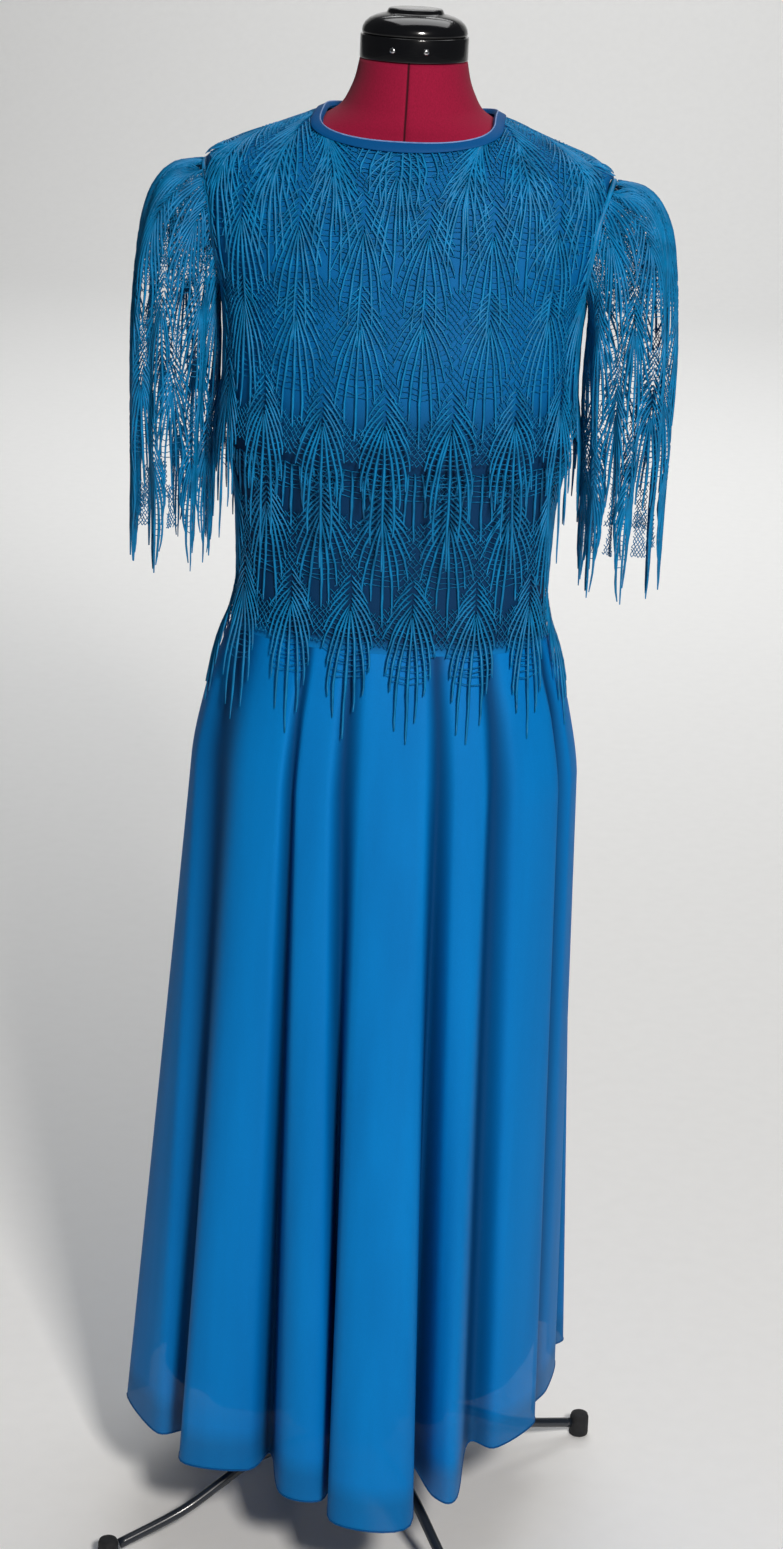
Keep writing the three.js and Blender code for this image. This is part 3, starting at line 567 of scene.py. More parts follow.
def lathe(profile, segments, centre=(0, 0)):
    """A turned body from radius and height pairs that start and end on the axis."""
    turn = np.arange(segments) * 2 * math.pi / segments
    vertices = [(centre[0], centre[1], profile[0][1]), (centre[0], centre[1], profile[-1][1])]
    for radius, z in profile[1:-1]:
        vertices += [(centre[0] + radius * math.cos(t), centre[1] + radius * math.sin(t), z) for t in turn]
    faces = []
    rings = len(profile) - 2
    for j in range(segments):
        after = (j + 1) % segments
        for i in range(rings - 1):
            a, b = 2 + i * segments, 2 + (i + 1) * segments
            faces.append((a + j, a + after, b + after, b + j))
        last = 2 + (rings - 1) * segments
        faces.append((0, 2 + after, 2 + j))
        faces.append((1, last + j, last + after))
    return vertices, faces


def swept(path, radius, segments=16):
    """A tube with flat ends along a smooth line of points."""
    path = np.asarray(path)
    along = np.gradient(path, axis=0)
    along /= np.linalg.norm(along, axis=1, keepdims=True)
    side = np.cross(along, [0, 0, 1.0])
    side /= np.linalg.norm(side, axis=1, keepdims=True)
    up = np.cross(side, along)
    turn = np.arange(segments) * 2 * math.pi / segments
    ring = np.cos(turn)[None, :, None] * side[:, None] + np.sin(turn)[None, :, None] * up[:, None]
    points = path[:, None] + ring * radius
    faces = []
    for i in range(len(path) - 1):
        for j in range(segments):
            a, b = i * segments + j, i * segments + (j + 1) % segments
            faces.append((a, b, b + segments, a + segments))
    last = (len(path) - 1) * segments
    faces.append(tuple(range(segments))[::-1])
    faces.append(tuple(last + j for j in range(segments)))
    return points.reshape(-1, 3), faces


class Threads:
    """Cords and threads on a cloth, gathered into one mesh."""

    def __init__(self):
        self.vertices, self.faces, self.count = [], [], 0

    def add(self, centres, normals, half_width, half_height, sides, closed=False):
        """centres and normals are [threads, points, 3]; the half sizes are [threads, points]. A closed
        thread's last point lies on its first."""
        along = np.gradient(centres, axis=1)
        along /= np.linalg.norm(along, axis=2, keepdims=True) + 1e-12
        across = np.cross(along, normals)
        across /= np.linalg.norm(across, axis=2, keepdims=True) + 1e-12
        turn = np.arange(sides) * 2 * math.pi / sides + math.pi / 2
        ring = (
            np.cos(turn)[:, None] * across[:, :, None] * half_width[:, :, None, None]
            + np.sin(turn)[:, None] * normals[:, :, None] * half_height[:, :, None, None]
        )
        points = centres[:, :, None] + ring
        threads, length = centres.shape[:2]
        index = self.count + np.arange(threads * length * sides).reshape(threads, length, sides)
        around = np.roll(index, -1, axis=2)
        a, b = index[:, :-1], around[:, :-1]
        c, d = around[:, 1:], index[:, 1:]
        self.faces += np.stack([a, b, c, d], axis=-1).reshape(-1, 4).tolist()
        if not closed:
            self.faces += index[:, 0].tolist() + index[:, -1, ::-1].tolist()
        self.vertices.append(points.reshape(-1, 3))
        self.count += threads * length * sides

    def piece(self, name, material):
        """All the threads as one piece."""
        return new_piece(name, np.concatenate(self.vertices), self.faces, material)


# ---- lace --------------------------------------------------------------------------------------------

FINE = 33  # places along a cord while its route is worked out
CORD_HALF_WIDTH = 0.98 * MM
THREAD_HALF_WIDTH = 0.5 * MM


Fan = namedtuple("Fan", "u v stretch draw_in")


def fan_cords(draw, fans):
    """The cords of all fans as flat routes: u, v and distance from the fan's top, with each cord's width.
    The cords of a fan go from its left outer one to its right outer one."""
    half = [(frond, -1) for frond in FAN]
    cords = half + [(FAN_MIDDLE, 1)] + [(frond, 1) for frond, _ in half[::-1]]
    start = np.array([cord.start for cord, _ in cords]) * MM
    lean = np.array([cord.lean for cord, _ in cords])
    length = np.array([cord.length for cord, _ in cords]) * MM
    bend = np.array([cord.bend for cord, _ in cords])
    width = np.array([cord.width for cord, _ in cords])
    side = np.array([way for _, way in cords])
    shape = (len(fans), len(cords))
    tops = np.array([[fan.u, fan.v] for fan in fans])
    stretch = np.array([fan.stretch for fan in fans])[:, None]
    draw_in = np.array([fan.draw_in for fan in fans])[:, None, None]
    inner = (1 - lean / 45) ** 1.5
    length = length * (1 + (stretch - 1) * inner * 1.25) * draw.uniform(0.9, 1.08, shape)
    lean = lean + draw.normal(0, 1.1, shape)
    start = start + draw.normal(0, 0.5 * MM, shape)
    s = np.linspace(0, 1, FINE)
    angle = side[:, None] * lean[:, :, None] * DEG * (1 - bend[:, None] * s**1.3 - draw_in * s**2)
    step = length[:, :, None] / (FINE - 1)
    sway = draw.uniform(0, 2 * math.pi, (2, *shape))[:, :, :, None]
    wave = 0.35 * MM * np.sin(9 * s + sway[0]) + 0.2 * MM * np.sin(23 * s + sway[1])
    u = np.cumsum(np.sin(angle) * step, axis=2) + wave
    v = np.cumsum(np.cos(angle) * step, axis=2) + start[:, :, None]
    far = np.hypot(u, v)
    return u + tops[:, 0, None, None], v + tops[:, 1, None, None], far, np.broadcast_to(width, shape)


def lay(cloth, u, v, out):
    """Routes in the flat pattern, as centres and normals on the cloth, and whether each place is on it."""
    points, normals, inside = cloth.place(u.ravel(), v.ravel())
    points = points + normals * np.broadcast_to(out, u.shape).ravel()[:, None]
    return points.reshape(*u.shape, 3), normals.reshape(*u.shape, 3), inside.reshape(u.shape)


def trimmed(route, inside, count):
    """Each route's first stretch that is on the cloth, at that many places, and which routes have one."""
    first = inside.argmax(axis=1)
    beyond = np.where(np.arange(inside.shape[1]) > first[:, None], ~inside, False)
    last = np.where(beyond.any(axis=1), beyond.argmax(axis=1) - 1, inside.shape[1] - 1)
    usable = inside.any(axis=1) & (last - first >= 4)
    at = first[:, None] + (last - first)[:, None] * np.linspace(0, 1, count)
    low = np.clip(at.astype(int), 0, inside.shape[1] - 2)
    share = at - low
    picked = [
        np.take_along_axis(line, low, 1) * (1 - share) + np.take_along_axis(line, low + 1, 1) * share
        for line in route
    ]
    return [line[usable] for line in picked], usable


def in_a_fan(u, v, fans, shrink=1.0):
    """Which places of the flat pattern lie inside the outline of some fan."""
    down, half = (np.array(column) * MM for column in zip(*FAN_OUTLINE))
    hit = np.zeros(u.shape, bool)
    for fan in fans:
        deep = (v - fan.v) / fan.stretch
        hit |= (np.abs(u - fan.u) < np.interp(deep, down, half, left=0, right=0) * shrink) & (deep > 0)
    return hit


def make_lace(name, cloth, rows, net_edge, net_pitch, out, seed, gathered_above=-math.inf):
    """Lace on a cloth: rows of corded fans, the bars between their cords, and the net between fans. Above
    the place where the cloth is gathered, the net of the layers beneath fills the fans as well."""
    draw = np.random.default_rng(seed)
    threads = Threads()
    reach = cloth.width.max() / 2
    fans = []
    for row in rows:
        count = int(reach / FAN_PITCH) + 1
        for k in range(-count, count + 1):
            u = (k + row.between) * FAN_PITCH
            if abs(u) < reach + FAN_PITCH * 0.3:
                drift = draw.normal(0, 0.8 * MM, 2)
                fans.append(Fan(u + drift[0], row.top * MM + drift[1], row.stretch, row.draw_in))
    u, v, far, width = fan_cords(draw, fans)
    add_cords(threads, cloth, draw, u, v, width, out)
    add_bars(threads, cloth, draw, u, v, far, out)
    add_net(threads, cloth, draw, fans, net_edge, net_pitch, gathered_above, out)
    return threads.piece(name, material_of("lace"))


def add_cords(threads, cloth, draw, u, v, width, out):
    """Satin-stitched cords: they thicken from the fan's axis and end in a point."""
    u, v, width = u.reshape(-1, FINE), v.reshape(-1, FINE), width.reshape(-1)
    long = np.hypot(u[:, -1] - u[:, 0], v[:, -1] - v[:, 0]) > 38 * MM
    for group, places in ((long, 11), (~long, 7)):
        route_u, route_v = u[group], v[group]
        _, _, inside = lay(cloth, route_u, route_v, out)
        (line_u, line_v), usable = trimmed([route_u, route_v], inside, places)
        centres, normals, _ = lay(cloth, line_u, line_v, out)
        s = np.linspace(0, 1, places)
        taper = (0.75 + 0.4 * np.sin(math.pi * s**0.85)) * np.where(s > 0.97, 0.7, 1)
        half = CORD_HALF_WIDTH * width[group][usable][:, None] * taper
        half = half * draw.uniform(0.85, 1.15, half.shape)
        threads.add(centres, normals, half, half * 0.95, 4)


def add_bars(threads, cloth, draw, u, v, far, out):
    """Ladder bars: threads from cord to cord, at even distances from the fan's top."""
    for distance in np.arange(11, 104, 5.2) * MM:
        at = (far < distance).sum(axis=2)
        reached = (at > 1) & (at < FINE - 1)
        at = np.clip(at, 0, FINE - 1)[:, :, None]
        bar_u = np.take_along_axis(u, at, 2)[:, :, 0] + draw.normal(0, 0.3 * MM, u.shape[:2])
        bar_v = np.take_along_axis(v, at, 2)[:, :, 0] + draw.normal(0, 0.6 * MM, u.shape[:2])
        pair = reached[:, :-1] & reached[:, 1:]
        ends_u = np.stack([bar_u[:, :-1][pair], bar_u[:, 1:][pair]], axis=1)
        ends_v = np.stack([bar_v[:, :-1][pair], bar_v[:, 1:][pair]], axis=1)
        span = np.hypot(ends_u[:, 1] - ends_u[:, 0], ends_v[:, 1] - ends_v[:, 0])
        wide = (span > 1.6 * MM) & (span < 16 * MM)
        add_straight(threads, cloth, ends_u[wide], ends_v[wide], out - 0.2 * MM)


def add_straight(threads, cloth, ends_u, ends_v, out):
    """Straight threads between pairs of places in the flat pattern, where both are on the cloth."""
    if not len(ends_u):
        return
    centres, normals, inside = lay(cloth, ends_u, ends_v, out)
    whole = inside.all(axis=1)
    half = np.full(inside.shape, THREAD_HALF_WIDTH)[whole]
    threads.add(centres[whole], normals[whole], half, half * 0.9, 3)


def add_net(threads, cloth, draw, fans, net_edge, pitch, gathered_above, out):
    """An uneven diamond net between the fans, down to the free edge."""
    reach = cloth.width.max() / 2
    top = cloth.down[0].min()
    columns, rows = int(2 * reach / (pitch / 2)) + 2, int((net_edge - top) / (pitch * 0.62)) + 2
    i, j = np.meshgrid(np.arange(rows), np.arange(columns), indexing="ij")
    u = -reach + j * pitch / 2 + draw.normal(0, 0.45 * MM, i.shape)
    v = net_edge - (rows - 1 - i) * pitch * 0.62 + draw.normal(0, 0.45 * MM, i.shape)
    open_ground = ~in_a_fan(u, v, fans, 0.93) | (v < gathered_above)
    even = (i + j) % 2 == 0
    for shift in (1, -1):
        left = slice(0, columns - 1) if shift > 0 else slice(1, columns)
        right = slice(1, columns) if shift > 0 else slice(0, columns - 1)
        kept = even[:-1, left] & (open_ground[:-1, left] | open_ground[1:, right])
        kept &= draw.uniform(0, 1, kept.shape) > 0.06
        ends_u = np.stack([u[:-1, left][kept], u[1:, right][kept]], axis=1)
        ends_v = np.stack([v[:-1, left][kept], v[1:, right][kept]], axis=1)
        add_straight(threads, cloth, ends_u, ends_v, out - 0.3 * MM)


# ---- materials ---------------------------------------------------------------------------------------

def add_node(tree, kind, inputs=None, **settings):
    """Adds a node. Each input is a value, or the socket that is linked to it."""
    made = tree.nodes.new(kind)
    for name, value in settings.items():
        setattr(made, name, value)
    for name, value in (inputs or {}).items():
        if isinstance(value, bpy.types.NodeSocket):
            tree.links.new(value, made.inputs[name])
        else:
            made.inputs[name].default_value = value
    return made


def new_material(name):
    """An empty node material, its node tree and the object's own coordinates in metres."""
    material = bpy.data.materials.new(name)
    material.use_nodes = True
    material.node_tree.nodes.clear()
    place = add_node(material.node_tree, "ShaderNodeTexCoord").outputs["Object"]
    return material, material.node_tree, place


def shade(material, inputs):
    """Ends a material with its shader, from even values and linked sockets."""
    shader = add_node(material.node_tree, "ShaderNodeBsdfPrincipled", inputs)
    add_node(material.node_tree, "ShaderNodeOutputMaterial", {"Surface": shader.outputs[0]})
    return material


def marked(name, scale, detail, shader, colours=None, roughness=None, relief=None):
    """A material whose marks all follow one noise: its colours, its roughness and its relief, which is a
    strength and a depth."""
    material, tree, place = new_material(name)
    marks = add_node(tree, "ShaderNodeTexNoise", {"Vector": place, "Scale": scale, "Detail": detail})
    fac = marks.outputs["Fac"]
    if colours:
        ends = {"Color1": linear(colours[0]), "Color2": linear(colours[1])}
        shader["Base Color"] = add_node(tree, "ShaderNodeMixRGB", {"Fac": fac, **ends}).outputs["Color"]
    if roughness:
        ends = {"To Min": roughness[0], "To Max": roughness[1]}
        shader["Roughness"] = add_node(tree, "ShaderNodeMapRange", {"Value": fac, **ends}).outputs["Result"]
    if relief:
        raised = {"Height": fac, "Strength": relief[0], "Distance": relief[1]}
        shader["Normal"] = add_node(tree, "ShaderNodeBump", raised).outputs["Normal"]
    return shade(material, shader)


def lace_material():
    """Guipure cord: mercerised cotton, satin-stitched over a core. It gives the cord's crown a soft gloss
    and a rope-like grain. The threads are 0.35 mm thick, and are drawn at 0.7 mm so that they show."""
    material, tree, place = new_material("guipure cotton")
    colours = bpy.context.scene.gown_settings
    dye = add_node(tree, "ShaderNodeTexNoise", {"Vector": place, "Scale": 55, "Detail": 3})
    colour = add_node(
        tree,
        "ShaderNodeMixRGB",
        {"Fac": dye.outputs["Fac"], "Color1": colours.lace_dark, "Color2": colours.lace_light},
    )
    grain = add_node(tree, "ShaderNodeTexNoise", {"Vector": place, "Scale": 1 / (0.7 * MM), "Detail": 1})
    relief = add_node(
        tree, "ShaderNodeBump", {"Height": grain.outputs["Fac"], "Strength": 0.5, "Distance": 0.4 * MM}
    )
    return shade(
        material,
        {
            "Base Color": colour.outputs["Color"],
            "Normal": relief.outputs["Normal"],
            "Roughness": 0.42,
            "Specular IOR Level": 0.25,
            "IOR": 1.53,
        },
    )


def crepe_material():
    """Polyester crepe: hard-twisted yarn in a plain weave, matt with small pebbles. The pebbles are 0.4 mm
    wide, and are drawn at 1.2 mm so that they show. Under the hanging upper tier the colour is darkened as
    painted shade."""
    material, tree, place = new_material("polyester crepe")
    height = add_node(tree, "ShaderNodeSeparateXYZ", {"Vector": place}).outputs["Z"]
    # Painted shade: from 1.26 m down to 1.19 m the crepe turns dark blue, for the shadow under the hanging
    # upper tier; just above the waist it turns a brighter blue.
    above_tier_shade = add_node(
        tree, "ShaderNodeMapRange", {"Value": height, "From Min": 1.19, "From Max": 1.26}
    )
    under_waist = add_node(
        tree, "ShaderNodeMapRange", {"Value": height, "From Min": 1.015, "From Max": 1.003}
    )
    upper = add_node(
        tree,
        "ShaderNodeMixRGB",
        {"Fac": above_tier_shade.outputs["Result"], "Color1": linear("02355f"), "Color2": linear("0066a6")},
    )
    colour = add_node(
        tree,
        "ShaderNodeMixRGB",
        {"Fac": under_waist.outputs["Result"], "Color1": upper.outputs["Color"], "Color2": linear("0076bd")},
    )
    pebble = add_node(tree, "ShaderNodeTexVoronoi", {"Vector": place, "Scale": 1 / (1.2 * MM)})
    relief = add_node(
        tree, "ShaderNodeBump", {"Height": pebble.outputs["Distance"], "Strength": 0.25, "Distance": 0.3 * MM}
    )
    return shade(
        material,
        {
            "Base Color": colour.outputs["Color"],
            "Normal": relief.outputs["Normal"],
            "Roughness": 0.68,
            "Specular IOR Level": 0.15,
        },
    )


def chiffon_material():
    """Polyester chiffon: a sheer plain weave, dyed deep. One layer still lets a little light through, which
    shows at the hem, and its fine yarn gives long soft streaks. The hollows of the folds are darkened as
    painted shade."""
    material, tree, place = new_material("polyester chiffon")
    colours = bpy.context.scene.gown_settings
    along_warp = add_node(tree, "ShaderNodeMapping", {"Vector": place, "Scale": (1, 1, 0.06)})
    streaks = add_node(
        tree, "ShaderNodeTexNoise", {"Vector": along_warp.outputs["Vector"], "Scale": 30, "Detail": 3}
    )
    colour = add_node(
        tree,
        "ShaderNodeMixRGB",
        {"Fac": streaks.outputs["Fac"], "Color1": colours.chiffon_dark, "Color2": colours.chiffon_light},
    )
    # Painted shade: the fold_depth attribute mixes the colour towards a dark blue in the hollows of the
    # folds, up to 85 % at the deepest.
    hollow = add_node(tree, "ShaderNodeAttribute", attribute_name="fold_depth")
    layers = add_node(tree, "ShaderNodeMapRange", {"Value": hollow.outputs["Fac"], "To Max": 0.85})
    folded = add_node(
        tree,
        "ShaderNodeMixRGB",
        {"Fac": layers.outputs["Result"], "Color1": colour.outputs["Color"], "Color2": linear("002f5e")},
    )
    # Below the lining's hem the colour is mixed up to 40 % towards a greyer, darker blue: partly the single
    # layer's own tint, partly painted shade of the skirt's shaded inside seen through it.
    height = add_node(tree, "ShaderNodeSeparateXYZ", {"Vector": place}).outputs["Z"]
    unlined = add_node(
        tree, "ShaderNodeMapRange", {"Value": height, "From Min": 0.172, "From Max": 0.15, "To Max": 0.4}
    )
    hem = add_node(
        tree,
        "ShaderNodeMixRGB",
        {"Fac": unlined.outputs["Result"], "Color1": folded.outputs["Color"], "Color2": linear("0c4f7c")},
    )
    # The yarns are 0.2 mm apart: too fine to show, so the open weave is drawn as a cloud of density.
    weave = add_node(tree, "ShaderNodeTexNoise", {"Vector": place, "Scale": 900, "Detail": 1})
    density = add_node(
        tree,
        "ShaderNodeMapRange",
        {"Value": weave.outputs["Fac"], "From Min": 0.3, "From Max": 0.7, "To Min": 0.93, "To Max": 0.99},
    )
    relief = add_node(
        tree, "ShaderNodeBump", {"Height": weave.outputs["Fac"], "Strength": 0.12, "Distance": 0.2 * MM}
    )
    return shade(
        material,
        {
            "Base Color": hem.outputs["Color"],
            "Alpha": density.outputs["Result"],
            "Normal": relief.outputs["Normal"],
            "Roughness": 0.6,
            "Specular IOR Level": 0.1,
        },
    )


def lining_material():
    """Acetate lining: a smooth warp-faced satin with a low lustre along its threads."""
    material, tree, place = new_material("acetate lining")
    along_warp = add_node(tree, "ShaderNodeMapping", {"Vector": place, "Scale": (1, 1, 0.04)})
    streaks = add_node(
        tree, "ShaderNodeTexNoise", {"Vector": along_warp.outputs["Vector"], "Scale": 220, "Detail": 2}
    )
    colour = add_node(
        tree,
        "ShaderNodeMixRGB",
        {"Fac": streaks.outputs["Fac"], "Color1": linear("00579a"), "Color2": linear("006eb4")},
    )
    relief = add_node(
        tree, "ShaderNodeBump", {"Height": streaks.outputs["Fac"], "Strength": 0.1, "Distance": 0.2 * MM}
    )
    return shade(
        material,
        {
            "Base Color": colour.outputs["Color"],
            "Normal": relief.outputs["Normal"],
            "Roughness": 0.5,
            "Specular IOR Level": 0.15,
            "Anisotropic": 0.3,
        },
    )


def bias_material():
    """Satin-backed crepe cut on the bias: smooth, with a fine slanting weave of 1 mm repeats."""
    material, tree, place = new_material("bias satin")
    weave = add_node(
        tree,
        "ShaderNodeTexWave",
        {"Vector": place, "Scale": 1 / (1.1 * MM), "Distortion": 1.0},
        bands_direction="DIAGONAL",
    )
    colour = add_node(
        tree,
        "ShaderNodeMixRGB",
        {"Fac": weave.outputs["Fac"], "Color1": linear("004a84"), "Color2": linear("005492")},
    )
    relief = add_node(
        tree, "ShaderNodeBump", {"Height": weave.outputs["Fac"], "Strength": 0.1, "Distance": 0.1 * MM}
    )
    return shade(
        material,
        {
            "Base Color": colour.outputs["Color"],
            "Normal": relief.outputs["Normal"],
            "Roughness": 0.55,
            "Specular IOR Level": 0.12,
        },
    )


def fold_edge_highlight_material():
    """The pressed fold of the satin, polished by the iron: its pale lilac colour is a painted highlight along
    the fold.
    """
    shader = {"Roughness": 0.4, "Specular IOR Level": 0.4}
    # Painted highlight: the pale lilac colours of the fold's edge.
    return marked("pressed satin edge with painted highlight", 240, 2, shader, colours=("4a78b4", "86a4d8"))


def jersey_material():
    """Cotton jersey stretched over padding: a matt, slightly fuzzy knit with 1 mm ribs of loops. The seam
    down its middle is dark, because its stitches draw the knit in."""
    material, tree, place = new_material("cotton jersey cover")
    ribs = add_node(tree, "ShaderNodeMapping", {"Vector": place, "Scale": (1, 1, 0.5)})
    loops = add_node(
        tree, "ShaderNodeTexNoise", {"Vector": ribs.outputs["Vector"], "Scale": 1 / (1.0 * MM), "Detail": 2}
    )
    colour = add_node(
        tree,
        "ShaderNodeMixRGB",
        {"Fac": loops.outputs["Fac"], "Color1": linear("7c0c2c"), "Color2": linear("a6143f")},
    )
    across = add_node(tree, "ShaderNodeSeparateXYZ", {"Vector": place}).outputs["X"]
    beside = add_node(tree, "ShaderNodeMath", {0: across}, operation="ABSOLUTE")
    clear = add_node(
        tree,
        "ShaderNodeMapRange",
        {"Value": beside.outputs["Value"], "From Min": 0.5 * MM, "From Max": 1.5 * MM},
    )
    seamed = add_node(
        tree,
        "ShaderNodeMixRGB",
        {"Fac": clear.outputs["Result"], "Color1": linear("3c0616"), "Color2": colour.outputs["Color"]},
    )
    relief = add_node(
        tree, "ShaderNodeBump", {"Height": loops.outputs["Fac"], "Strength": 0.3, "Distance": 0.3 * MM}
    )
    return shade(
        material,
        {
            "Base Color": seamed.outputs["Color"],
            "Normal": relief.outputs["Normal"],
            "Roughness": 0.85,
            "Specular IOR Level": 0.15,
            "Sheen Weight": 0.04,
            "Sheen Roughness": 0.6,
        },
    )


def abs_material():
    """Polished black ABS, injection moulded: a mirror-like gloss with a very slight unevenness."""
    shader = {"Base Color": linear("0c0d10"), "IOR": 1.54, "Coat Weight": 0.4, "Coat Roughness": 0.05}
    return marked("polished abs", 120, 4, shader, roughness=(0.1, 0.22), relief=(0.03, 0.3 * MM))


def zinc_material():
    """Zinc-plated screw steel: bright, with fine turning marks."""
    shader = {"Base Color": linear("d2d5d8"), "Metallic": 1.0}
    return marked("zinc-plated steel", 900, 2, shader, roughness=(0.18, 0.34))


def enamel_material():
    """Steel tube in a dark baked enamel: glossy with a light orange peel of about 2 mm."""
    shader = {"Base Color": linear("1f2630"), "Coat Weight": 0.5, "Coat Roughness": 0.12}
    return marked("baked enamel", 1 / (2 * MM), 1, shader, roughness=(0.28, 0.4), relief=(0.06, 0.2 * MM))


def rubber_material():
    """Moulded rubber: matt and slightly dusty."""
    colours, relief = ("0e0f11", "2c2d30"), (0.15, 0.2 * MM)
    return marked("moulded rubber", 200, 4, {"Roughness": 0.82}, colours=colours, relief=relief)


def floor_material():
    """A pale sheet of studio paper: matt, with a faint unevenness of its fibres."""
    return marked("studio paper", 40, 3, {"Roughness": 0.95}, colours=("f7f7f6", "fcfcfb"))


MADE = {}  # a changed colour shows after the add-on is registered again, which empties this


def material_of(kind):
    """Each material is made once, by the function of its kind."""
    makers = {
        "lace": lace_material,
        "crepe": crepe_material,
        "chiffon": chiffon_material,
        "lining": lining_material,
        "binding": bias_material,
        "edge": fold_edge_highlight_material,
        "cover": jersey_material,
        "plastic": abs_material,
        "screw": zinc_material,
        "steel": enamel_material,
        "rubber": rubber_material,
        "floor": floor_material,
    }
    if kind not in MADE:
        MADE[kind] = makers[kind]()
    return MADE[kind]


def settle(piece, slot, *nodes):
    """Every piece rides on the one body and stands for its solids, if any, which are hidden. The slot is not
    used.
    """
    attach(piece, "root")
    if nodes:
        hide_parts(*nodes)


# ---- operators ---------------------------------------------------------------------------------------

class GownSettings(bpy.types.PropertyGroup):
    """Sizes, strengths and colours that a user would change."""

    skirt_columns: bpy.props.IntProperty(
        name="Points in a fold", description="How finely one fold of the skirt is drawn", default=22, min=8
    )
    skirt_rows: bpy.props.IntProperty(
        name="Skirt rows", description="How many rows the skirt has from seam to hem", default=84, min=20
    )
    net_pitch: bpy.props.FloatProperty(
        name="Net pitch", description="Width of a mesh of the lace's net", default=5.4 * MM, unit="LENGTH"
    )
    key_power: bpy.props.FloatProperty(
        name="Key light", description="Power of the large light on the right", default=110, min=0
    )
    floor_size: bpy.props.FloatProperty(
        name="Floor size", description="Side of the floor", default=14.0, unit="LENGTH"
    )
    lace_dark: bpy.props.FloatVectorProperty(
        name="Lace, dark", description="The lace's deeper dye", default=linear("00466f"), size=4,
        subtype="COLOR",
    )
    lace_light: bpy.props.FloatVectorProperty(
        name="Lace, light", description="The lace's paler dye", default=linear("0696d8"), size=4,
        subtype="COLOR",
    )
    chiffon_dark: bpy.props.FloatVectorProperty(
        name="Skirt, dark", description="The chiffon's deeper streaks", default=linear("0070bc"), size=4,
        subtype="COLOR",
    )
    chiffon_light: bpy.props.FloatVectorProperty(
        name="Skirt, light", description="The chiffon's paler streaks", default=linear("0089dc"), size=4,
        subtype="COLOR",
    )


class GOWN_OT_form(bpy.types.Operator):
    """Makes the covered torso of the dress form with its neck"""

    bl_idname = "gown.form"
    bl_label = "Dress form"

    def execute(self, context):
        heights = np.concatenate([np.linspace(1.5446, 1.44, 40), np.linspace(1.43, FORM_BASE, 60)])
        near = np.array([-3, -1.6, -0.8, 0, 0.8, 1.6, 3]) * DEG
        turn = np.concatenate([near[3:], np.linspace(5, 175, 46) * DEG, math.pi + near])
        turn = np.concatenate([turn, np.linspace(185, 355, 46) * DEG, 2 * math.pi + near[:4]])
        grid = FIGURE.point(turn[None, :], heights[:, None])
        covered = np.clip((NECKLINE.side - 0.004 - heights) / 0.03, 0, 1)
        cloth = Cloth(grid, FORM_BASE)
        outer = grid - cloth.normals * (covered * 5.5 * MM)[:, None, None]
        # The cover's seam down the front and back of the neck draws the knit in a little.
        near_seam = np.exp(-((np.sin(turn) / math.sin(1.1 * DEG)) ** 2))
        outer = outer - cloth.normals * (near_seam * 1.3 * MM)[None, :, None]
        outer[-1, :, 2] = FORM_BASE
        outer[:, -1] = outer[:, 0]
        rows, columns = heights.size, turn.size
        vertices = outer[:, :-1].reshape(-1, 3)
        index = np.arange(rows * (columns - 1)).reshape(rows, columns - 1)
        after = np.roll(index, -1, axis=1)
        faces = np.stack([index[:-1], index[1:], after[1:], after[:-1]], axis=-1).reshape(-1, 4).tolist()
        faces += [index[0].tolist(), index[-1][::-1].tolist()]
        piece = new_piece("form_cover", vertices, faces, material_of("cover"))
        settle(piece, "cover", "form_torso")
        return {"FINISHED"}


